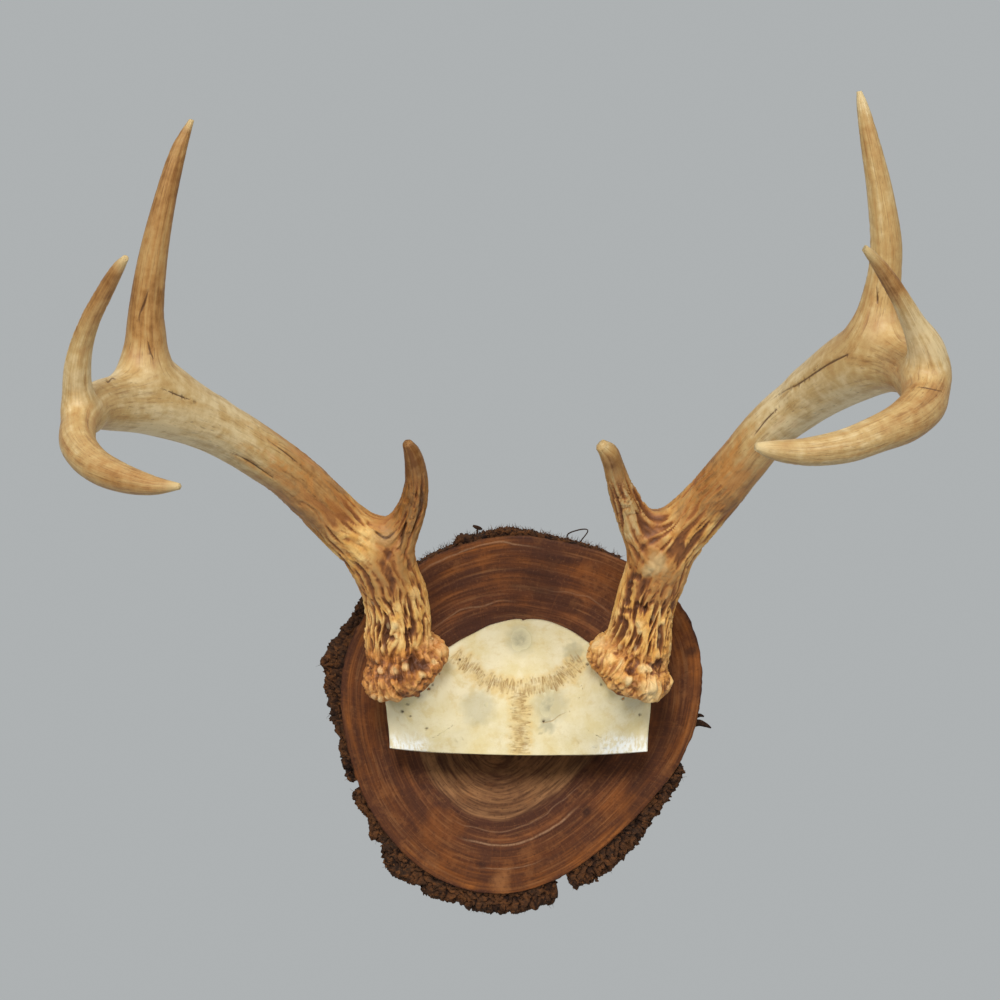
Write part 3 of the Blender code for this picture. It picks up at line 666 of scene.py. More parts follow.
# Upper outline from the lower left corner, clockwise as seen from the front (x, z)
PLATE_OUTLINE = ((-60.2, -9.2), (-60, 0), (-59.6, 8), (-57, 22), (-47, 33), (-34, 37.5), (-27, 41.5),
                 (-21, 44.5), (-14, 48), (-9, 49.6), (-2, 51.2), (2.6, 51.4), (3.6, 50.4),
                 (4.8, 51.3), (11, 51.3),
                 (16, 50.3), (22, 48), (28, 45), (37, 39), (49, 33), (60, 23), (62.2, 10), (62.4, 0),
                 (62.2, -11.0))
PEDICLE_LINES = {"left": ((-38, -43, 6, 15), (-44, -49, 15, 14), (-50.5, -57.5, 26, 13)),
                 "right": ((38.5, -43, 6, 15), (44.5, -49, 15, 14), (51, -57.5, 26, 13))}
CROWN_SEAM = ((-30, 35), (-22, 29.5), (-15, 23.7), (-7.8, 21.2), (1.6, 19.7), (8.7, 20.5),
              (15.8, 22.0), (20.6, 24), (25.3, 28.2), (31, 33))
MIDDLE_SEAM = ((1.4, 17.5), (1.8, 8), (1.2, -2), (1.7, -11))
SCRATCH = ((12.8, 3.6), (17, 4.6), (20.5, 7.2), (25.0, 9.0))
SCRATCH_STRENGTH = 0.8
# Smears of dirt: x, z, radius, strength
SMEARS = ((14.5, 3.0, 4.2, 0.9), (27.5, 36.5, 5.0, 0.8), (18.5, 8.0, 3.0, 0.6))
# Pores: x, z, radius
PORES = ((-39.5, 22.6, 0.6), (-41.2, 20.4, 0.9), (-46.2, 17.4, 1.2), (-53.8, 9.2, 0.9), (-42.2, 1.2, 0.8),
         (-36.5, 27.4, 0.6), (49.6, 15.6, 0.8), (58.3, 7.2, 0.8), (39.7, 22.0, 0.7), (-27, 33.2, 0.6),
         (-51.3, 12.8, 0.7), (33.8, 31.0, 0.8), (12.8, 4.2, 0.7), (11.4, -1.6, 0.6), (-50.2, 7.0, 0.5))
# Filler over the screws: x, z, radius
FILLINGS = {"top": (1.5, 42.0, 5.4), "left": (-18.0, 10.5, 6.4), "right": (15.5, 12.0, 6.6)}


def nearest(points, centres):
    """For each row of points, the number of the nearest row of centres."""
    reach = (centres ** 2).sum(1)
    return np.concatenate([(reach - 2 * block @ centres.T).argmin(1)
                           for block in np.array_split(points, len(points) // 20000 + 1)])


def locate(branch, points):
    """Where points lie on a branch: signed distance to its skin, distance along, angle, outward way."""
    near = nearest(points, branch.centre)
    offset = points - branch.centre[near]
    step = (offset * branch.tangent[near]).sum(1)
    step = np.where(near == 0, np.maximum(step, 0), step)
    step = np.where(near == len(branch.along) - 1, np.minimum(step, 0), step)
    out = offset - branch.tangent[near] * step[:, None]
    distance = np.linalg.norm(out, axis=1)
    angle = np.arctan2((out * branch.side[near]).sum(1), (out * branch.front[near]).sum(1))
    return SimpleNamespace(skin=distance - branch.radius[near] - branch.slope[near] * step,
                           along=branch.along[near] + step, angle=angle,
                           out=out / np.maximum(distance, 1e-6)[:, None])


def melt(a, b, reach):
    """Smooth union of two distances, and the share that b has in it."""
    touch = np.clip(reach - np.abs(a - b), 0, None) / reach
    share = np.where(b < a, 1 - touch / 2, touch / 2)
    return np.minimum(a, b) - reach * touch ** 2 / 4, share


def joined_skin(name, shells, step):
    """One closed mesh round overlapping shells, each (points, faces), in squares step mm wide."""
    starts = np.cumsum([0] + [len(points) for points, _ in shells])
    faces = [tuple(i + start for i in face)
             for (_, shell_faces), start in zip(shells, starts) for face in shell_faces]
    skin = object_from(name, np.vstack([points for points, _ in shells]), faces)
    remesh = skin.modifiers.new("skin", "REMESH")
    remesh.mode = "VOXEL"
    remesh.voxel_size = step * MM
    return applied(skin)


def refine(mesh, chosen, times=1):
    """Halves the faces' size wherever chosen, a test on rows of points in mm, holds."""
    for _ in range(times):
        inside = chosen(points_of(mesh))
        bm = bmesh.new()
        bm.from_mesh(mesh)
        edges = [e for e in bm.edges if inside[e.verts[0].index] and inside[e.verts[1].index]]
        bmesh.ops.subdivide_edges(bm, edges=edges, cuts=1, use_grid_fill=True)
        bmesh.ops.triangulate(bm, faces=[f for f in bm.faces if len(f.verts) > 4])
        bm.to_mesh(mesh)
        bm.free()


def smooth_line(points, count):
    """Points spread along a smooth line through the given ones."""
    path = grow_branch([(x, 0.0, z, 1.0) for x, z in points], 0.5).centre[:, (0, 2)]
    return path[np.linspace(0, len(path) - 1, count).round().astype(int)]


def plate_front(x, z):
    """How far the bone's outer surface stands off the wall at (x, z)."""
    rise = np.maximum(0.0, z - PLATE_BEND_Z)
    return (PLATE_STAND_OFF - PLATE_SIDE_FALL * (x / PLATE_HALF_WIDTH) ** 2
            - PLATE_TOP_FALL * (rise / PLATE_BEND_HEIGHT) ** 2)


def plate_slopes(x, z):
    """How fast the outer surface falls back towards the side and towards the top."""
    rise = np.maximum(0.0, z - PLATE_BEND_Z)
    return (2 * PLATE_SIDE_FALL * x / PLATE_HALF_WIDTH ** 2,
            2 * PLATE_TOP_FALL * rise / PLATE_BEND_HEIGHT ** 2)


def sawn_height(x):
    """Height of the plate's sawn lower edge, which is a little curved."""
    return -10.1 - 0.014 * x - 1.9 * (1 - (x / PLATE_HALF_WIDTH) ** 2)


outline = np.vstack([smooth_line(PLATE_OUTLINE, 140),
                     [(x, sawn_height(x)) for x in np.linspace(60.5, -58.5, 60)]])
pedicles = [grow_branch(line) for line in PEDICLE_LINES.values()]


def outline_distance(x, z):
    """Signed distance to the plate's outline, negative inside."""
    points = np.stack([x, z], axis=1)
    ends = np.roll(outline, -1, axis=0)
    best = np.full(len(points), 1e9)
    inside = np.zeros(len(points), bool)
    for start, end in zip(outline, ends):
        edge = end - start
        t = np.clip(((points - start) @ edge) / max(edge @ edge, 1e-9), 0, 1)
        best = np.minimum(best, ((points - start - t[:, None] * edge) ** 2).sum(1))
        crosses = (start[1] > points[:, 1]) != (end[1] > points[:, 1])
        if start[1] != end[1]:
            at = start[0] + (points[:, 1] - start[1]) * edge[0] / edge[1]
            inside ^= crosses & (points[:, 0] < at)
    return np.sqrt(best) * np.where(inside, -1, 1)


def plate_field(points):
    """Signed distance to the bone."""
    x, y, z = points.T
    slope_x, slope_z = plate_slopes(x, z)
    ahead = (-y - plate_front(x, z)) / np.sqrt(1 + slope_x ** 2 + slope_z ** 2)
    slab = np.maximum(ahead, -ahead - PLATE_THICKNESS)
    slab = -melt(-slab, -outline_distance(x, z), PLATE_EDGE_ROUND)[0]
    for pedicle in pedicles:
        slab = melt(slab, locate(pedicle, points).skin, 13.0)[0]
    slab = -melt(-slab, z - sawn_height(x), PLATE_EDGE_ROUND)[0]
    return np.maximum(slab, y + SLICE_THICKNESS + 0.3)


def slope_of(field, points, value):
    """How fast a field rises along x, y and z at points where it has the given value."""
    return np.stack([(field(points + PROBE * axis) - value) / PROBE for axis in np.eye(3)], axis=1)


def reach_from(points, x, z, radius):
    """Distance of points across the front from (x, z), in radii."""
    return np.hypot(points[:, 0] - x, points[:, 2] - z) / radius


def settle(field, points, rounds):
    """Moves points onto the surface where a field of signed distance is nought."""
    for _ in range(rounds):
        value = field(points)
        slope = slope_of(field, points, value)
        points = points - slope * (value / np.maximum((slope ** 2).sum(1), 0.25))[:, None]
    return points


def zigzag(line, count, reach, seed):
    """A seam: a line that swings to and fro across another, as dense points (x, z)."""
    rng = np.random.default_rng(seed)
    middle = smooth_line(line, count)
    along = unit(np.gradient(middle, axis=0))
    square = along[:, ::-1] * (-1, 1)
    swing = np.where(np.arange(count) % 2, 1, -1) * rng.uniform(0.25, 1.0, count) * reach
    slip = rng.uniform(-0.45, 0.45, count)
    knees = middle + square * swing[:, None] + along * slip[:, None]
    return smooth_line(knees, count * 14)


plate_middle = np.array((0.0, 15.0))
slab_rings = []
for drop, order in ((0.0, np.linspace(0.02, 1, 24)), (PLATE_THICKNESS, np.linspace(1, 0.02, 24))):
    for share in order:
        flat = plate_middle + share * (outline - plate_middle)
        slab_rings.append(np.column_stack([flat[:, 0], drop - plate_front(*flat.T), flat[:, 1]]))
size = len(outline)
slab_numbers = np.arange(size * len(slab_rings)).reshape(-1, size).tolist()
slab_faces = quads_between(slab_numbers) + [tuple(slab_numbers[0][::-1]), tuple(slab_numbers[-1])]
slab_object = face_outward(object_from("slab", np.vstack(slab_rings), slab_faces))
slab = (points_of(slab_object.data), [tuple(p.vertices) for p in slab_object.data.polygons])
bpy.data.objects.remove(slab_object, do_unlink=True)
skull_plate = joined_skin("cleaned_skull_plate", [slab, *(tube_shell(p) for p in pedicles)], 0.95)
move_points(skull_plate.data, settle(plate_field, points_of(skull_plate.data), 3))
seams = [zigzag(CROWN_SEAM, 78, 4.6, 1), zigzag(CROWN_SEAM, 66, 3.6, 2), zigzag(CROWN_SEAM, 90, 5.2, 5),
         zigzag(MIDDLE_SEAM, 44, 5.0, 3), zigzag(MIDDLE_SEAM, 38, 4.0, 4), zigzag(MIDDLE_SEAM, 52, 5.6, 6),
         smooth_line(SCRATCH, 80)]
seam_points = np.vstack(seams)
seam_powers = (1.0, 0.65, 0.5, 0.9, 0.7, 0.5, SCRATCH_STRENGTH)
seam_strength = np.concatenate([np.full(len(seam), power) for seam, power in zip(seams, seam_powers)])


def seam_distance(points):
    """Distance across the face to the nearest seam, and that seam's strength."""
    flat = points[:, (0, 2)]
    near = nearest(flat, seam_points)
    return np.linalg.norm(flat - seam_points[near], axis=1), seam_strength[near]


def near_seams(points):
    """Which points lie on the front beside a seam or at the sawn edge."""
    ahead = points[:, 1] < -plate_front(points[:, 0], points[:, 2]) + 2
    return ahead & ((seam_distance(points)[0] < 1.3) | (points[:, 2] < -7.5))


refine(skull_plate.data, near_seams, 2)
points = settle(plate_field, points_of(skull_plate.data), 1)
on_front = fade(-points[:, 1] - plate_front(points[:, 0], points[:, 2]), -2.5, -0.8)
distance, strength = seam_distance(points)
strokes = 0.80 + 0.9 * lattice_noise(points / 4.0, 31) + 0.5 * lattice_noise(points / 1.3, 32)
seam = on_front * strength * np.clip(strokes, 0.05, 1.2) * np.exp(-(distance / 0.28) ** 2)
seam_zone = on_front * fade(distance, 2.4, 0.5) * (strength != SCRATCH_STRENGTH)
pore = np.zeros(len(points))
for x, z, radius in PORES:
    pore = np.maximum(pore, on_front * fade(reach_from(points, x, z, radius), 1.1, 0.4))
smudge = np.zeros(len(points))
for x, z, radius in FILLINGS.values():
    reach = reach_from(points, x, z, radius) + 0.25 * lattice_noise(points / 3.0, 6)
    smudge = np.maximum(smudge, 0.6 * on_front * fade(reach, 1.7, 0.7))
for x, z, radius, dirt in SMEARS:
    reach = reach_from(points, x, z, radius) + 0.5 * lattice_noise(points / 2.2, 8)
    smudge = np.maximum(smudge, dirt * on_front * fade(reach, 1.3, 0.4))
uneven = 0.25 * lattice_noise(points / 14.0, 21) + 0.10 * lattice_noise(points / 4.0, 22)
dent = 0.25 * np.exp(-((points[:, 0] - 3.5) / 4.5) ** 2 - ((points[:, 2] - 45) / 6.0) ** 2) * on_front
push_in = 0.42 * seam + 0.9 * pore + dent - uneven + seam_zone * 0.12
slope_x, slope_z = plate_slopes(points[:, 0], points[:, 2])
outward = unit(np.stack([slope_x, np.full(len(points), -1.0), slope_z], axis=1))
points -= outward * (push_in * on_front)[:, None]
move_points(skull_plate.data, points)
skull_plate.data.shade_smooth()
store(skull_plate.data, "seam", np.clip(seam, 0, 1))
store(skull_plate.data, "seam_zone", np.clip(seam_zone, 0, 1))
# the pores are sunk in and also painted near black: painted shade inside them
store(skull_plate.data, "pore", pore)
store(skull_plate.data, "smudge", smudge)
low_down = fade(points[:, 2] + 3.0 * lattice_noise(points / 3.5, 12), 1.0, -8.0)
left_corner = fade(points[:, 0], -36, -48) * fade(points[:, 0], -64, -58)
right_corner = fade(points[:, 0], 32, 46)
store(skull_plate.data, "chalk", np.clip(low_down * (left_corner + right_corner) * on_front, 0, 1))
# a thin darker band along the sawn lower edge: partly the porous cut bone, partly painted shade at the rim
store(skull_plate.data, "sawn", fade(points[:, 2] - sawn_height(points[:, 0]), 0.75, 0.3))

bone = Finish("clean bone")
clouds = bone.noise(15.0, 4.0)
stains = bone.noise(6.0, 4.0, 0.62)
grains = bone.noise(0.9, 4.0, 0.6)
fibres = bone.noise(1.6, 4.0, 0.65, stretch=(1, 1, 0.4))
beside_seams = bone.maths("MULTIPLY", bone.attribute("seam_zone"), bone.ramp(stains, 0.36, 0.58, 0.25, 0.85))
chalky = bone.maths("MULTIPLY", bone.attribute("chalk"), bone.ramp(fibres, 0.40, 0.56, 0.2, 1.0))
colour = bone.coat(
    bone.mix(bone.ramp(clouds, 0.38, 0.62), (0.74, 0.645, 0.415), (0.675, 0.560, 0.295)),
    (stains, 0.52, 0.68, 0.60, (0.62, 0.470, 0.205)),
    (stains, 0.44, 0.32, 0.35, (0.78, 0.700, 0.490)))
colour = bone.mix(beside_seams, colour, (0.66, 0.480, 0.200))
colour = bone.coat(
    colour,
    (grains, 0.55, 0.75, 0.3, (0.54, 0.440, 0.235)),
    (bone.attribute("smudge"), 0.0, 1.0, 0.85, (0.40, 0.355, 0.215)))
colour = bone.mix(chalky, colour, (0.86, 0.85, 0.78))
colour = bone.coat(colour, (bone.attribute("seam"), 0.05, 0.8, 0.9, (0.33, 0.195, 0.060)))
# painted shade: the pores near black
colour = bone.mix(bone.attribute("pore"), colour, (0.09, 0.055, 0.025))
# partly the porous cut bone, partly painted shade: darker along the sawn lower edge
colour = bone.coat(colour, (bone.attribute("sawn"), 0.3, 1.0, 0.9, (0.155, 0.090, 0.035)))
gloss = bone.ramp(grains, 0.3, 0.7, 0.55, 0.72)
relief = bone.maths("ADD", grains, bone.maths("MULTIPLY", stains, 0.6))
dress(skull_plate, bone.close(colour, gloss, relief, 0.35, 0.45, specular=0.35))
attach(skull_plate, "root")
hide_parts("skull_plate")

# ---------------------------------------------------------------------------------------------
# Filler. A smear of grey-cream filler over each of the three screw heads, wiped flush with the bone
# by thumb and left a little uneven.

filler = Finish("filler")
wiped = filler.noise(3.0, 4.0, 0.6)
dirt = filler.noise(1.2, 4.0, 0.65)
colour = filler.coat(
    filler.mix(filler.ramp(wiped, 0.35, 0.65), (0.53, 0.465, 0.280), (0.40, 0.355, 0.220)),
    (dirt, 0.58, 0.72, 0.6, (0.33, 0.300, 0.200)),
    (filler.attribute("edge"), 0.35, 1.0, 1.0, (0.66, 0.580, 0.345)))
filler_material = filler.close(colour, 0.75, wiped, 0.5, 0.6, specular=0.3)
for number, (name, (x, z, radius)) in enumerate(FILLINGS.items()):
    turns = np.linspace(0, 2 * math.pi, 48, endpoint=False)
    hoop = np.column_stack([np.cos(turns), np.sin(turns), turns * 0])
    ragged = radius * (1 + 0.14 * lattice_noise(hoop * 1.6, number))
    rings, edges = [], []
    for share in np.linspace(0.02, 1, 22):
        flat_x, flat_z = x + share * ragged * np.cos(turns), z + share * ragged * np.sin(turns)
        bumps = 0.12 * lattice_noise(np.column_stack([flat_x, flat_z, flat_x * 0]) / 2.2, 50 + number)
        rise = 0.20 - 0.34 * share ** 2 + bumps * (1 - share)
        rings.append(np.column_stack([flat_x, -plate_front(flat_x, flat_z) - rise, flat_z]))
        edges.append(np.full(len(turns), share))
    for share in (1.0, 0.3):
        flat_x, flat_z = x + share * ragged * np.cos(turns), z + share * ragged * np.sin(turns)
        rings.append(np.column_stack([flat_x, 2.0 - plate_front(flat_x, flat_z), flat_z]))
        edges.append(np.ones(len(turns)))
    smear = ring_mesh(f"filler_smear_{name}", rings)
    store(smear.data, "edge", np.concatenate(edges))
    smear.data.shade_smooth()
    smear.data.materials.append(filler_material)
    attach(smear, "root")
    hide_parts(f"filler_{name}")

# ---------------------------------------------------------------------------------------------
# Antlers. Each is one piece of bone that branches: a beam with a pearled burr at its foot and
# three tines. The foot is deeply fluted and stained orange-brown, the beam above it is tan with fine
# dark streaks, the tips are worn smooth and pale. The two sides grew unlike each other.

# Points (x, y, z, radius) in mm along each centreline, burr to tip
ANTLERS = {
    "left": {
        "redness": 0.9,           # of the burr
        "depth": 0.55,            # of the burr's hollows, as shading
        "paleness": 0.15,         # of the burr's knobs
        "burr": ((-52.4, -59.2, 29.5), (-0.46, -0.29, 0.84)),
        "beam": ((-48.7, -56.8, 22.8, 11.5), (-52.4, -59.2, 29.5, 14.5), (-55.3, -64.5, 41.5, 15.4),
                 (-55.5, -72, 57, 14.5), (-58.5, -79, 70.5, 14.5), (-65, -87, 83, 13.8),
                 (-72, -93, 90.5, 12.8), (-82, -100, 99.5, 11.7), (-93.5, -111, 112, 11.6),
                 (-107, -124, 124, 11.5), (-127.5, -147, 138, 11.9), (-143, -166, 145.5, 12.4),
                 (-158, -186, 149.5, 12.7), (-170, -208, 149.5, 11.6), (-177.3, -230, 147, 9.2),
                 (-179.2, -250, 141, 7.6), (-177.3, -270, 131.5, 7.4), (-168.5, -288, 123, 6.9),
                 (-155.5, -303, 117.5, 5.8), (-142.5, -315, 114.5, 3.9), (-130.8, -321.6, 114, 1.2)),
        "brow": ((-60, -84, 74, 7.0), (-60.5, -88, 81, 8.6), (-57.5, -91, 89, 9.0), (-52.8, -95, 95.5, 7.8),
                 (-48, -102, 105, 6.2), (-45.7, -112, 115.5, 5.2), (-46, -120, 123.7, 4.7),
                 (-47.3, -126, 130, 3.8), (-49.2, -130.5, 134, 2.4)),
        "g2": ((-136, -160, 146, 1.0), (-147, -176, 153.5, 6.6), (-156, -188, 162, 8.8),
               (-158.7, -192, 168.5, 9.6), (-158.6, -196, 179, 8.7), (-157.7, -201, 191.5, 7.4),
               (-154, -209, 212, 6.1),
               (-148.4, -216, 234.5, 4.7), (-142, -221, 255, 3.3), (-135.9, -224, 268.2, 0.9)),
        "g3": ((-176.5, -240, 143, 3.0), (-179.6, -250, 150.5, 5.9), (-179.3, -258, 160.7, 5.6),
               (-176.5, -265, 171.5, 4.7), (-171.8, -273, 181.5, 4.0), (-165.2, -281, 191.7, 3.5),
               (-159.2, -288, 200.3, 2.6), (-155.2, -291.8, 204.8, 1.2)),
        # how brown each branch is, 0 to 1, at mm along it
        "tones": {"beam": ((0, .55), (80, .55), (100, .7), (130, .75), (150, .42), (175, .12), (200, 0),
                           (240, .10), (285, .42), (330, .38), (370, .58), (390, .4)),
                  "brow": ((0, .45), (20, .65), (36, .8), (60, .85), (76, 1), (80, .85)),
                  "g2": ((35, .36), (55, .6), (75, .75), (95, .55), (120, .75), (147, .7), (154, .4)),
                  "g3": ((0, .1), (28, .15), (45, .4), (60, .65), (73, .78), (83, .65), (87, .35))},
        # drying cracks and grooves in the side that faces the viewer: width, points (x, y, z)
        "cracks": ((0.34, ((-155.5, -209, 198.7), (-157.6, -208, 192.3), (-159.8, -207, 187.7),
                           (-161, -206, 183.9))),
                   (0.26, ((-157, -205, 177.8), (-156.1, -203, 172.3), (-154, -201, 167.3))),
                   (0.30, ((-173.2, -214, 160.8), (-171.5, -214, 158.2), (-170.6, -214, 160.2),
                           (-168.6, -214, 159.0))),
                   (0.23, ((-137, -178, 150.5), (-145, -187, 153.5), (-152, -195, 156.5))),
                   (0.22, ((-95, -118, 122.5), (-104, -126, 130.5), (-113, -136, 137.5))),
                   (0.23, ((-107, -140, 117.0), (-118, -148, 125.0), (-127, -158, 130.0))),
                   (0.60, ((-47.8, -97, 92.5), (-44.8, -104, 103), (-42.9, -114, 113), (-42.4, -121, 122))),
                   (0.45, ((-50.6, -99, 100), (-52.0, -97, 93), (-53.8, -95, 85))),
                   (0.50, ((-66.0, -96, 96.0), (-60.0, -94, 91.5), (-54.5, -97, 95.5)))),
        # blobs on the side that faces the viewer (x, z, radius, lift, paleness; below nought, painted shade
        # in a pit), for burr and foot
        "blobs": ((-63.3, 29.3, 1.7, 1.0, 1.0), (-57.1, 29.8, 2.1, 1.1, 1.0), (-51.7, 31.3, 2.0, 1.2, 1.0),
                  (-44.2, 27.5, 1.7, 1.0, 0.9), (-38.3, 33.4, 1.5, 0.9, 0.9), (-34.8, 39.5, 3.4, 1.2, 0.4),
                  (-39.6, 43.7, 3.2, 0.8, 0.5), (-39.6, 43.7, 1.9, -1.3, -0.5), (-39.6, 43.7, 0.9, 1.0, 0.3),
                  (-48.7, 33.4, 3.6, -1.3, -0.9), (-43.5, 31.5, 2.6, -1.5, -1.0),
                  (-54.8, 26.5, 3.0, -0.8, -0.6),
                  (-66.5, 17.3, 1.4, 0.8, 0.8), (-63.6, 16.2, 1.4, 0.8, 0.9), (-60.6, 16.8, 1.3, 0.6, 0.7),
                  (-56.3, 51.0, 1.9, 1.0, 1.0), (-56.0, 46.0, 1.2, 0.7, 0.8), (-59.5, 45.5, 1.3, -1.2, -1.0),
                  (-47.6, 66.0, 2.6, 1.0, 0.7), (-49.8, 47.5, 2.2, -0.9, -0.8),
                  (-68.0, 91.0, 6.5, 0.0, 0.32), (-59.0, 92.0, 5.0, 0.0, 0.26)),
    },
    "right": {
        "redness": 0.2,
        "depth": 0.35,
        "paleness": 0.45,
        "burr": ((52.9, -59.2, 29.5), (0.49, -0.29, 0.82)),
        "beam": ((49, -56.8, 22.8, 11.5), (52.9, -59.2, 29.5, 14.0), (57, -64.5, 41.5, 15.0),
                 (59.8, -72, 58.5, 13.5), (63.2, -78, 71.5, 13.9), (68, -86, 85, 13.6),
                 (75.5, -93, 95, 12.9), (84, -100, 104.5, 11.7), (92.5, -108, 114.5, 11.4),
                 (112, -132, 140, 11.2), (124, -148, 151, 11.9), (134, -163, 158.5, 12.7),
                 (145, -183, 164, 12.7), (154.2, -206, 166.3, 12.0), (161.3, -228, 163.5, 10.8),
                 (165.6, -246, 157, 10.0), (163.4, -262, 148, 9.5), (154.3, -278, 140.5, 8.7),
                 (142, -291, 135.2, 7.5), (127.5, -303, 130, 6.8), (111.5, -313, 127.5, 5.6),
                 (98, -320, 128, 3.9), (90, -323.4, 129.5, 1.4)),
        "brow": ((64.5, -84, 74, 7.0), (65, -87, 81, 8.4), (62, -90, 88, 9.2), (56.5, -94, 95.5, 8.6),
                 (50.6, -102, 106.5, 6.6), (46.2, -111, 116, 5.2), (43.6, -119, 123.7, 4.7),
                 (41, -126, 130, 4.4), (37.8, -129.6, 133, 3.0)),
        "g2": ((127, -163, 157.0, 1.0), (137, -184, 166.5, 7.0), (145.5, -200, 173, 9.0),
               (150, -208, 181, 9.6),
               (152.3, -213, 193, 8.2), (153.5, -217, 204.5, 7.1), (153.3, -222, 217.5, 6.6),
               (150.2, -228, 235.5, 5.5), (146, -234, 253.5, 4.3), (142, -238, 269.5, 2.7),
               (139.8, -239.8, 278, 0.9)),
        "g3": ((164, -240, 155, 4.0), (166.3, -251, 162.5, 8.2), (165.5, -257, 168.5, 8.0),
               (162.8, -262, 174, 6.7), (159, -267, 179.5, 5.1), (153.5, -275, 187.5, 4.0),
               (148.7, -281, 194, 3.6), (143.5, -287, 200.3, 3.0), (139, -292, 205, 2.2),
               (135.0, -295.8, 208.6, 1.2)),
        "tones": {"beam": ((0, .5), (85, .6), (112, .85), (138, .62), (165, .12), (200, -.1),
                           (235, -.05), (262, .3),
                           (285, .62), (330, .5), (365, .25), (400, .35), (409, .15)),
                  "brow": ((0, .3), (30, .25), (60, .3), (72, .75), (78, .55), (81, .3)),
                  "g2": ((20, .62), (50, .6), (80, .36), (120, .3), (145, .45), (155, .1)),
                  "g3": ((0, .2), (22, .08), (46, .02), (54, .3), (61, .8), (70, .8), (77, .5), (83, .3))},
        "cracks": ((0.32, ((112, -152, 153.5), (118.2, -160, 157.4), (122, -164, 159.4), (131, -172, 166),
                           (137.7, -180, 169.6), (142.6, -188, 171.9), (149.9, -196, 175.2))),
                   (0.22, ((125.2, -162, 162.8), (132.8, -170, 169.8), (139, -178, 176))),
                   (0.22, ((158.0, -256, 155.0), (165.0, -256, 153.6), (172.2, -252, 152.3))),
                   (0.23, ((104, -132, 136), (110, -140, 144.5), (116, -146, 151))),
                   (0.24, ((149.2, -218, 199), (149.8, -216, 193.5), (150.2, -214, 188)))),
        "blobs": ((52.3, 70.0, 1.7, -0.9, -0.9), (51.8, 66.0, 1.8, -1.1, -1.0),
                  (52.3, 57.5, 1.7, -1.0, -0.9),
                  (64.5, 80.0, 5.2, 0.3, 0.72), (60.0, 76.0, 3.6, 0.3, 0.6),
                  (55.0, 73.5, 1.9, -1.2, -1.0), (48.6, 53.5, 1.9, -1.2, -1.0),
                  (49.6, 57.5, 1.7, -1.1, -0.9),
                  (38.1, 42.8, 4.8, 1.3, 0.7), (38.4, 42.6, 3.0, -1.3, -0.3), (48.4, 33.4, 2.1, 1.3, 1.0),
                  (58.2, 30.5, 2.2, 1.2, 1.0), (61.0, 30.0, 1.9, 1.0, 1.0), (52.0, 25.2, 1.9, 1.1, 1.0),
                  (56.4, 51.0, 2.0, 1.1, 1.0), (56.8, 47.8, 1.5, 0.8, 0.9), (53.0, 29.3, 1.9, -1.4, -1.0),
                  (48.4, 26.7, 2.8, 0.6, 0.2), (62.3, 20.1, 5.4, 0.9, 1.0), (69.6, 21.5, 2.4, -0.9, -0.5),
                  (66.5, 33.0, 2.0, -1.6, -1.0), (62.8, 31.8, 1.5, -1.0, -0.7), (43.5, 35.5, 2.4, 0.9, 0.4),
                  (55.8, 60.0, 1.6, -1.4, -1.0), (59.2, 58.5, 1.4, -1.3, -1.0),
                  (50.8, 62.0, 2.3, -1.5, -1.0)),
    },
}
# Colours of the upper antler at tones from 0 to 1
BROWNS = ((0.0, (0.700, 0.535, 0.285)), (0.3, (0.530, 0.345, 0.135)), (0.65, (0.405, 0.207, 0.063)),
          (1.0, (0.170, 0.058, 0.008)))
FORK_BLEND = {"brow": 10.0, "g2": 17.0, "g3": 9.0}      # how far each tine melts into the beam
BURR_RADIUS = 16.6
BURR_THICKNESS = 4.5
NODULES = 38
PEARLS = 70
SKIN_STEP = 1.6               # mesh size before the fluted foot is refined
GIRTH = 13.0                  # radius of a branch as its grain sees it
THIN_GIRTH = 8.0              # the same for the flutes of a brow tine


def wrapped(place, around, lengthwise, twist=0.0, radius=GIRTH):
    """Noise coordinates that close round a branch; features are around by lengthwise mm."""
    girth = radius / around
    return np.stack([girth * np.cos(place.angle + twist), girth * np.sin(place.angle + twist),
                     place.along / lengthwise], axis=1)


def burr_frame(burr):
    """A burr's middle, its axis, and the ways to its front and its side."""
    middle, axis = (np.array(v) for v in burr)
    axis = unit(axis)
    front = unit(np.array((0.0, -1.0, 0.0)) + axis * axis[1])
    return middle, axis, front, np.cross(axis, front)


def burr_beads(burr, seed):
    """The knobs of a burr: two uneven rings of small balls (x, y, z, radius) round its edge."""
    rng = np.random.default_rng(seed)
    middle, axis, front, side = burr_frame(burr)
    beads = []
    for i in range(NODULES):
        turn = 2 * math.pi * (i + rng.uniform(-0.35, 0.35)) / NODULES
        upper = i % 2 == 0
        reach = BURR_RADIUS + (rng.uniform(1.6, 3.8) if upper else rng.uniform(-0.5, 2.4))
        height = rng.uniform(1.0, 3.6) if upper else rng.uniform(-5.5, -1.5)
        at = middle + reach * (math.cos(turn) * front + math.sin(turn) * side) + height * axis
        beads.append((*at, rng.uniform(1.5, 2.7)))
    return np.array(beads)


def antler_field(parts, points):
    """Signed distance to an antler's blended skin, and each branch's share and place."""
    places = {name: locate(branch, points) for name, branch in parts.branches.items()}
    skin = places["beam"].skin
    shares = {"beam": np.ones(len(points))}
    for name, reach in FORK_BLEND.items():
        skin, share = melt(skin, places[name].skin, reach)
        shares = {other: part * (1 - share) for other, part in shares.items()}
        shares[name] = share
    middle, axis = parts.burr
    near = np.linalg.norm(points - middle, axis=1) < 34.0
    offset = points[near] - middle
    height = offset @ axis
    flat = np.linalg.norm(offset - height[:, None] * axis, axis=1)
    ring = np.hypot(flat - BURR_RADIUS, height * 0.75) - BURR_THICKNESS
    local = melt(skin[near], ring, 7.0)[0]
    for x, y, z, radius in parts.beads:
        local = melt(local, np.linalg.norm(points[near] - (x, y, z), axis=1) - radius, 1.3)[0]
    skin[near] = local
    return skin, shares, places


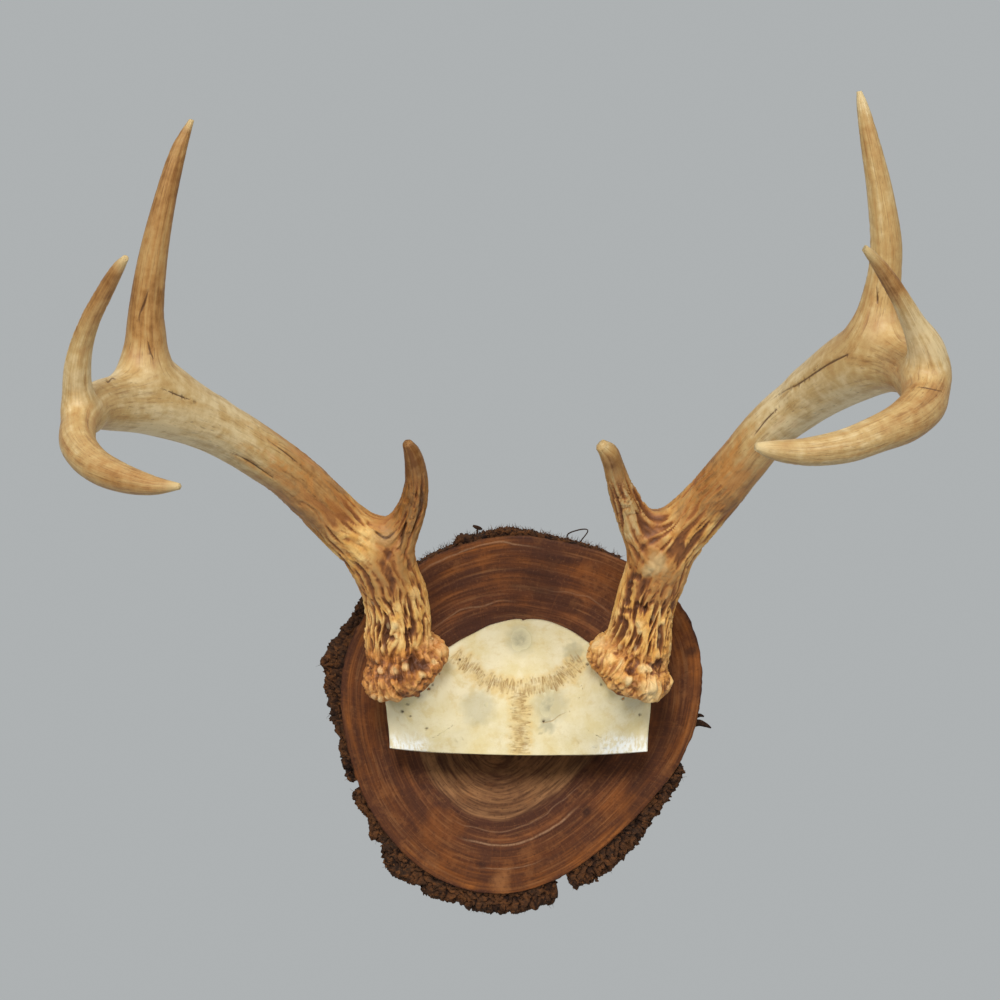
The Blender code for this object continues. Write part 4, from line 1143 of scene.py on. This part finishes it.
def flutes(place, strength, coarse, radius, seed):
    """Height in mm of the net of ridges along one branch, and the painted shade of the hollows between them.
    """
    twist = 0.20 * lattice_noise(wrapped(place, 8.0, 20.0), seed)
    long_net = np.abs(lattice_noise(wrapped(place, 1.95, 15.0, twist, radius), seed + 1))
    broad_net = np.abs(lattice_noise(wrapped(place, 3.0, 24.0, twist, radius), seed + 6))
    short_net = np.abs(lattice_noise(wrapped(place, 1.3, 6.0, twist, radius), seed + 2))
    fine = lattice_noise(wrapped(place, 0.8, 4.0, twist, radius), seed + 3)
    swell = lattice_noise(wrapped(place, 9.0, 24.0), seed + 4)
    long_groove = fade(lattice_noise(wrapped(place, 3.2, 60.0, twist), seed + 5), 0.1, 0.5)
    pit = (1 - coarse) * fade(long_net, 0.19, 0.46) + coarse * fade(broad_net, 0.22, 0.50)
    flank = (1 - coarse) * fade(long_net, 0.02, 0.20) + coarse * fade(broad_net, 0.03, 0.26)
    dimple = fade(short_net, 0.21, 0.50)
    height = strength * (0.62 - 0.22 * flank - 1.35 * pit - 0.70 * dimple + 0.20 * fine)
    height += (1 - strength) * -0.35 * long_groove + 0.45 * swell * (0.3 + 0.7 * strength)
    shade = np.clip(0.28 * flank + 0.62 * pit + 0.42 * dimple - 0.18 * fine, 0, 1)
    return height, np.clip(strength, 0, 1) ** 0.6 * shade


def crack_depth(cracks, points, widen=1.0):
    """How far each point is into one of the cracks, 1 along its middle."""
    depth = np.zeros(len(points))
    for width, crack in cracks:
        line = grow_branch([(*point, 1.0) for point in crack], 0.4)
        middle = line.centre[len(line.centre) // 2]
        near = np.linalg.norm(points - middle, axis=1) < line.along[-1] / 2 + 9
        flat = points[near][:, (0, 2)]
        step = nearest(flat, line.centre[:, (0, 2)])
        wander = 0.14 * lattice_noise(points[near] / 3.0, 61)
        gap = np.linalg.norm(flat - line.centre[step][:, (0, 2)], axis=1) + wander
        ends = np.sin(np.pi * line.along[step] / line.along[-1])
        across = gap / width / widen / (0.6 + 0.9 * ends)
        depth[near] = np.maximum(depth[near], ends ** 0.4 * np.exp(-across ** 2))
    return depth


def pearl_lift(trunk, points, seed):
    """Height of the small round pearls that are scattered over the foot of a beam."""
    rng = np.random.default_rng(seed)
    lift = np.zeros(len(points))
    for _ in range(PEARLS):
        at = int(rng.triangular(3, 5, 40))
        turn = rng.uniform(0, 2 * math.pi)
        width = rng.uniform(0.6, 1.25)
        way = math.cos(turn) * trunk.front[at] + math.sin(turn) * trunk.side[at]
        offset = points - (trunk.centre[at] + trunk.radius[at] * way)
        stretch = (offset * trunk.tangent[at]).sum(1)
        reach = (offset ** 2).sum(1) - 0.7 * stretch ** 2
        lift = np.maximum(lift, 0.6 * width * np.sqrt(np.clip(1 - reach / width ** 2, 0, None)))
    return lift


def build_antler(side, seed):
    """One antler's skin as a mesh object with its grain, the painted shade of its hollows, ridging and tips
    as attributes.
    """
    data = ANTLERS[side]
    middle, axis, front, sideways = burr_frame(data["burr"])
    parts = SimpleNamespace(
        branches={name: grow_branch(data[name]) for name in ("beam", "brow", "g2", "g3")},
        burr=(middle, axis), beads=burr_beads(data["burr"], seed))
    turn = np.linspace(0, 2 * math.pi, 40)
    ways = np.cos(turn)[:, None] * front + np.sin(turn)[:, None] * sideways
    hoop = middle + BURR_RADIUS * ways
    shells = [tube_shell(branch) for branch in parts.branches.values()]
    thickness = np.full(len(hoop), BURR_THICKNESS * 1.1)
    shells.append(tube_shell(grow_branch(np.column_stack([hoop, thickness]))))
    for x, y, z, radius in parts.beads:
        ball = ((x, y, z - radius * 0.5, radius * 0.8), (x, y, z, radius),
                (x, y, z + radius * 0.5, radius * 0.8))
        shells.append(tube_shell(grow_branch(ball, 1.0), 10))
    antler = joined_skin(f"{side}_antler", shells, SKIN_STEP)

    def field(at):
        return antler_field(parts, at)[0]

    def fluted(at):
        """Which points are on the fluted foot or beside a crack."""
        _, shares, places = antler_field(parts, at)
        return ((shares["beam"] > 0.4) & (places["beam"].along < 125)) | (
            (shares["brow"] > 0.4) & (places["brow"].along < 75)) | beside_cracks(at) | at_tips(at)

    def in_front(at):
        """Which points are on the side of the foot that is seen most, or beside a crack."""
        place = locate(parts.branches["beam"], at)
        ahead = (place.out[:, 1] < 0.15) & (place.skin < 9.0)
        return (ahead & (place.along < 62)) | beside_cracks(at)

    def beside_cracks(at, widen=4.0):
        """Which points are beside a crack, on the viewer's side."""
        return crack_depth(data["cracks"], at, widen) > 0.3

    def at_tips(at):
        """Which points are on the last few mm of a branch."""
        _, shares, places = antler_field(parts, at)
        ends = [(share > 0.5) & (places[name].along > parts.branches[name].along[-1] - 7)
                for name, share in shares.items()]
        return np.any(ends, axis=0)

    points = settle(field, points_of(antler.data), 3)
    move_points(antler.data, points)
    even = antler.modifiers.new("even", "SMOOTH")
    even.iterations = 4
    even.vertex_group = "away from the tips"
    group = antler.vertex_groups.new(name=even.vertex_group)
    group.add(np.flatnonzero(~at_tips(points)).tolist(), 1.0, "REPLACE")
    applied(antler)
    antler.vertex_groups.clear()
    refine(antler.data, fluted)
    refine(antler.data, in_front)
    refine(antler.data, lambda at: beside_cracks(at, 1.5))
    points = settle(field, points_of(antler.data), 2)
    skin, shares, places = antler_field(parts, points)
    out = unit(slope_of(field, points, skin))
    beam, brow = places["beam"], places["brow"]
    uneven_end = 16 * lattice_noise(points / 14.0, seed + 3)
    reach = beam.along + uneven_end
    strength = {
        "beam": (0.55 * fade(reach, 116.0, 78.0) + 0.33 * fade(reach, 155.0, 105.0)
                 + 0.12 * fade(reach, 200.0, 140.0)),
        "brow": 0.95 * fade(brow.along, 80.0, 42.0),
        "g2": np.zeros(len(points)),
        "g3": np.zeros(len(points)),
    }
    height, hollow_shade, rough, tip, tone = (np.zeros(len(points)) for _ in range(5))
    tine_grain = np.zeros((len(points), 3))
    for number, (name, share) in enumerate(shares.items()):
        place = places[name]
        length = parts.branches[name].along[-1]
        calm = fade(place.along, length, length - 30)
        coarse = fade(place.along, 44, 66) if name == "beam" else 1.0
        girth = THIN_GIRTH if name == "brow" else GIRTH
        raised, sunk = flutes(place, strength[name], coarse, girth, seed * 10 + number * 7)
        height += share * raised * calm
        # the flutes' painted shade, faded out towards each tip
        hollow_shade += share * sunk * calm
        rough += share * strength[name] * (0.5 if name == "brow" else 1.0)
        tip += share * fade(place.along, length - 8, length - 1) * (name != "brow")
        tone += share * np.interp(place.along, *zip(*data["tones"][name]))
        if name != "beam":
            chosen = share > 0.004
            tine_grain[chosen] = (wrapped(place, GIRTH, 1.0) * (GIRTH, GIRTH, 1.0) + number * 40.0)[chosen]

    pearly = beam.along < 95
    lift = pearl_lift(parts.branches["beam"], points[pearly], seed + 500)
    height[pearly] += lift
    pale = np.zeros(len(points))
    pale[pearly] += 0.7 * np.clip(lift, 0, 1)

    on_burr = fade(np.linalg.norm(points - middle, axis=1), 26.0, 18.0)
    folds = np.abs(lattice_noise(wrapped(beam, 2.0, 11.0), seed + 77))
    crust = lattice_noise(points / 1.9, seed + 78) + 0.5 * lattice_noise(points / 0.9, seed + 79)
    knob = np.full(len(points), 9.0)
    near_burr = on_burr > 0
    for x, y, z, radius in parts.beads:
        gap = np.linalg.norm(points[near_burr] - (x, y, z), axis=1) / radius
        knob[near_burr] = np.minimum(knob[near_burr], gap)
    knob = fade(knob, 1.5, 1.0)
    height += on_burr * (0.7 - 1.1 * fade(folds, 0.06, 0.34) + 0.35 * crust)
    hollow_shade = hollow_shade * (1 - 0.6 * on_burr)
    # painted shade over the burr, deeper in its folds and less on its knobs
    burr_shade = data["depth"] - 0.5 * knob - 0.5 * crust + 0.4 * fade(folds, 0.1, 0.4)
    hollow_shade = np.maximum(hollow_shade, on_burr * np.clip(burr_shade, 0, 1))
    pale += data["paleness"] * on_burr * knob
    height *= 1 - on_burr * fade((points - middle) @ axis, -3.0, -6.5)
    facing = fade(-out[:, 1], -0.1, 0.3)
    for x, z, radius, rise, tint in data["blobs"]:
        reach = np.hypot((points[:, 0] - x) / radius, (points[:, 2] - z) / radius / 1.15)
        reach += 0.18 * lattice_noise(points / 1.4, 5)
        weight = facing * fade(reach, 1.35, 0.25)
        height += rise * weight
        pale += 0.8 * max(0.0, tint) * weight
        hollow_shade = hollow_shade * (1 - weight * (tint > 0)) + 0.8 * weight * max(0.0, -tint)
    # the cracks are sunk a little and also painted dark: painted shade in them
    crack = crack_depth(data["cracks"], points) * facing
    height -= 0.5 * crack
    points += out * height[:, None]
    move_points(antler.data, points)
    antler.data.shade_smooth()
    # painted shade in the pits between the ridges, in the burr's folds and in the sunken blobs
    store(antler.data, "hollow_shade", np.clip(hollow_shade, 0, 1))
    store(antler.data, "pale", np.clip(pale, 0, 1))
    store(antler.data, "rough", np.clip(np.maximum(rough, on_burr), 0, 1))
    store(antler.data, "burr", on_burr * data["redness"])
    store(antler.data, "tip", np.clip(tip, 0, 1))
    store(antler.data, "tone", np.clip(tone, 0, 1))
    store(antler.data, "crack", crack)
    store(antler.data, "tine", 1 - shares["beam"])
    store(antler.data, "beam_grain", wrapped(beam, GIRTH, 1.0) * (GIRTH, GIRTH, 1.0) * MM)
    store(antler.data, "tine_grain", tine_grain * MM)
    return antler


def along_grain(kit, size, length, detail=3.0, roughness=0.6):
    """Streaks that run with the grain of the beam and, past a fork, of the tine."""
    thin = (1, 1, size / length)
    on_beam = kit.noise(size, detail, roughness, kit.attribute("beam_grain", vector=True), thin)
    on_tine = kit.noise(size, detail, roughness, kit.attribute("tine_grain", vector=True), thin)
    share = kit.ramp(kit.attribute("tine"), 0.3, 0.7)
    rest = kit.maths("MULTIPLY", on_beam, kit.maths("SUBTRACT", 1.0, share))
    return kit.maths("ADD", rest, kit.maths("MULTIPLY", on_tine, share))


horn = Finish("weathered antler")
hollow_shade = horn.attribute("hollow_shade")
rough = horn.attribute("rough")
mottle = horn.noise(5.0, 4.0, 0.6)
patches = horn.noise(8.0, 3.0)
broad = along_grain(horn, 4.0, 50.0, 2.0)
streaks = along_grain(horn, 1.4, 15.0, 3.0)
dashes = along_grain(horn, 0.8, 5.0, 2.0)
speckles = horn.noise(0.7, 3.0, 0.6)
uneven = horn.maths("ADD", horn.ramp(mottle, 0.3, 0.7, -0.16, 0.16),
                    horn.ramp(broad, 0.3, 0.7, -0.16, 0.16))
tone = horn.maths("ADD", horn.attribute("tone"), uneven)
dark = horn.ramp(tone, 0.1, 0.8, 0.35, 0.85)
colour = horn.coat(
    horn.steps(tone, BROWNS),
    (streaks, 0.54, 0.70, 1.0, (0.220, 0.100, 0.030), dark),
    (dashes, 0.62, 0.72, 1.0, (0.120, 0.050, 0.016), dark))
colour = horn.mix(horn.maths("MULTIPLY", horn.attribute("tip"), 0.6), colour, (0.640, 0.480, 0.230))
foot = horn.coat(
    horn.mix(horn.ramp(patches, 0.36, 0.60), (0.860, 0.570, 0.210), (0.760, 0.400, 0.090)),
    (mottle, 0.50, 0.66, 0.65, (0.450, 0.165, 0.030)),
    (streaks, 0.54, 0.70, 0.45, (0.800, 0.560, 0.220)))
colour = horn.mix(horn.ramp(rough, 0.50, 0.92), colour, foot)
tine = horn.attribute("tine")
fork = horn.maths("MULTIPLY", horn.ramp(tine, 0.05, 0.35), horn.ramp(rough, 0.25, 0.55, 0.0, 0.8))
fork = horn.maths("MULTIPLY", fork, horn.ramp(tine, 0.97, 0.65))
colour = horn.mix(fork, colour, (0.350, 0.170, 0.052))
red = horn.maths("MULTIPLY", horn.attribute("burr"), horn.ramp(patches, 0.40, 0.60, 0.60, 0.97))
colour = horn.coat(
    horn.mix(red, colour, (0.440, 0.098, 0.013)),
    # painted shade: browner, then near black, the deeper the hollows between the ridges and in the burr
    (hollow_shade, 0.08, 0.34, 0.50, (0.540, 0.225, 0.050)),
    (hollow_shade, 0.34, 0.64, 0.95, (0.320, 0.112, 0.025)),
    (hollow_shade, 0.55, 1.0, 0.92, (0.095, 0.030, 0.010)),
    (horn.attribute("pale"), 0.15, 0.9, 0.75, (0.740, 0.550, 0.270)),
    (speckles, 0.62, 0.78, 0.3, (0.150, 0.065, 0.022)),
    # painted shade: dark brown in the cracks
    (horn.attribute("crack"), 0.15, 0.8, 0.85, (0.085, 0.034, 0.012)))
relief = horn.maths("ADD", horn.maths("MULTIPLY", streaks, -0.8), horn.maths("MULTIPLY", dashes, -0.9))
horn_material = horn.close(colour, horn.ramp(rough, 0.0, 0.8, 0.46, 0.56), relief, 0.45, 0.5, specular=0.35)
for side, seed in (("left", 11), ("right", 23)):
    antler = build_antler(side, seed)
    dress(antler, horn_material)
    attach(antler, "root")
    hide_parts(*(f"{side}_{part}" for part in ("main_beam", "brow_tine", "g2_tine", "g3_tine")))

# ---------------------------------------------------------------------------------------------
# Studio: a plain pale floor far below the hanging plaque, soft light from the front and from both
# sides, and the camera straight in front of the mount.

CAMERA_DISTANCE = 1.5
CAMERA_X, CAMERA_Z = -0.0078, 0.1088
VIEW_WIDTH = 0.490            # what the camera takes in at the wall's distance
FLOOR_Z = -1000.0
FLOOR_HALF = 1500.0
AIM = (0.0, -0.1, 0.1)        # where the lights point, in metres

floor = object_from("floor", [(FLOOR_HALF * x, FLOOR_HALF * y, FLOOR_Z)
                              for x, y in ((-1, -1), (1, -1), (1, 1), (-1, 1))], [(0, 1, 2, 3)])
pale_floor = Finish("pale floor")
floor.data.materials.append(pale_floor.close((0.62, 0.64, 0.65), 0.9))

world = bpy.data.worlds.new("studio")
world.use_nodes = True
sky = world.node_tree
way = add_node(sky, "ShaderNodeSeparateXYZ", {0: add_node(sky, "ShaderNodeTexCoord", {})["Generated"]})
behind = add_node(sky, "ShaderNodeMapRange", {0: way["Y"], 1: 0.1, 2: 0.9, 3: 0.08, 4: 0.68})[0]
overhead = add_node(sky, "ShaderNodeMapRange", {0: way["Z"], 1: 0.0, 2: 0.7, 3: 0.08, 4: 0.80})[0]
brighter = add_node(sky, "ShaderNodeMath", {0: behind, 1: overhead}, operation="MAXIMUM")[0]
feed(sky, sky.nodes["Background"].inputs["Color"], (0.62, 0.65, 0.66))
feed(sky, sky.nodes["Background"].inputs["Strength"], brighter)
bpy.context.scene.world = world
bpy.context.scene.view_settings.view_transform = "Standard"


def soft_light(name, place, size, power):
    """A square area light at place that points at the mount."""
    lamp = bpy.data.lights.new(name, "AREA")
    lamp.size = size
    lamp.energy = power
    light = bpy.data.objects.new(name, lamp)
    light.location = place
    light.rotation_euler = (Vector(AIM) - Vector(place)).to_track_quat("-Z", "Y").to_euler()
    bpy.context.scene.collection.objects.link(light)


soft_light("key", (-0.3, -3.7, 2.0), 1.1, 118.0)
soft_light("left", (-2.9, -2.6, 1.4), 1.2, 50.0)
soft_light("right", (2.9, -2.6, 1.4), 1.2, 50.0)

camera_data = bpy.data.cameras.new("camera")
camera_data.sensor_width = 36.0
camera_data.lens = 36.0 * CAMERA_DISTANCE / VIEW_WIDTH
camera = bpy.data.objects.new("camera", camera_data)
camera.location = (CAMERA_X, -CAMERA_DISTANCE, CAMERA_Z)
camera.rotation_euler = (math.pi / 2, 0, 0)
bpy.context.scene.collection.objects.link(camera)
bpy.context.scene.camera = camera
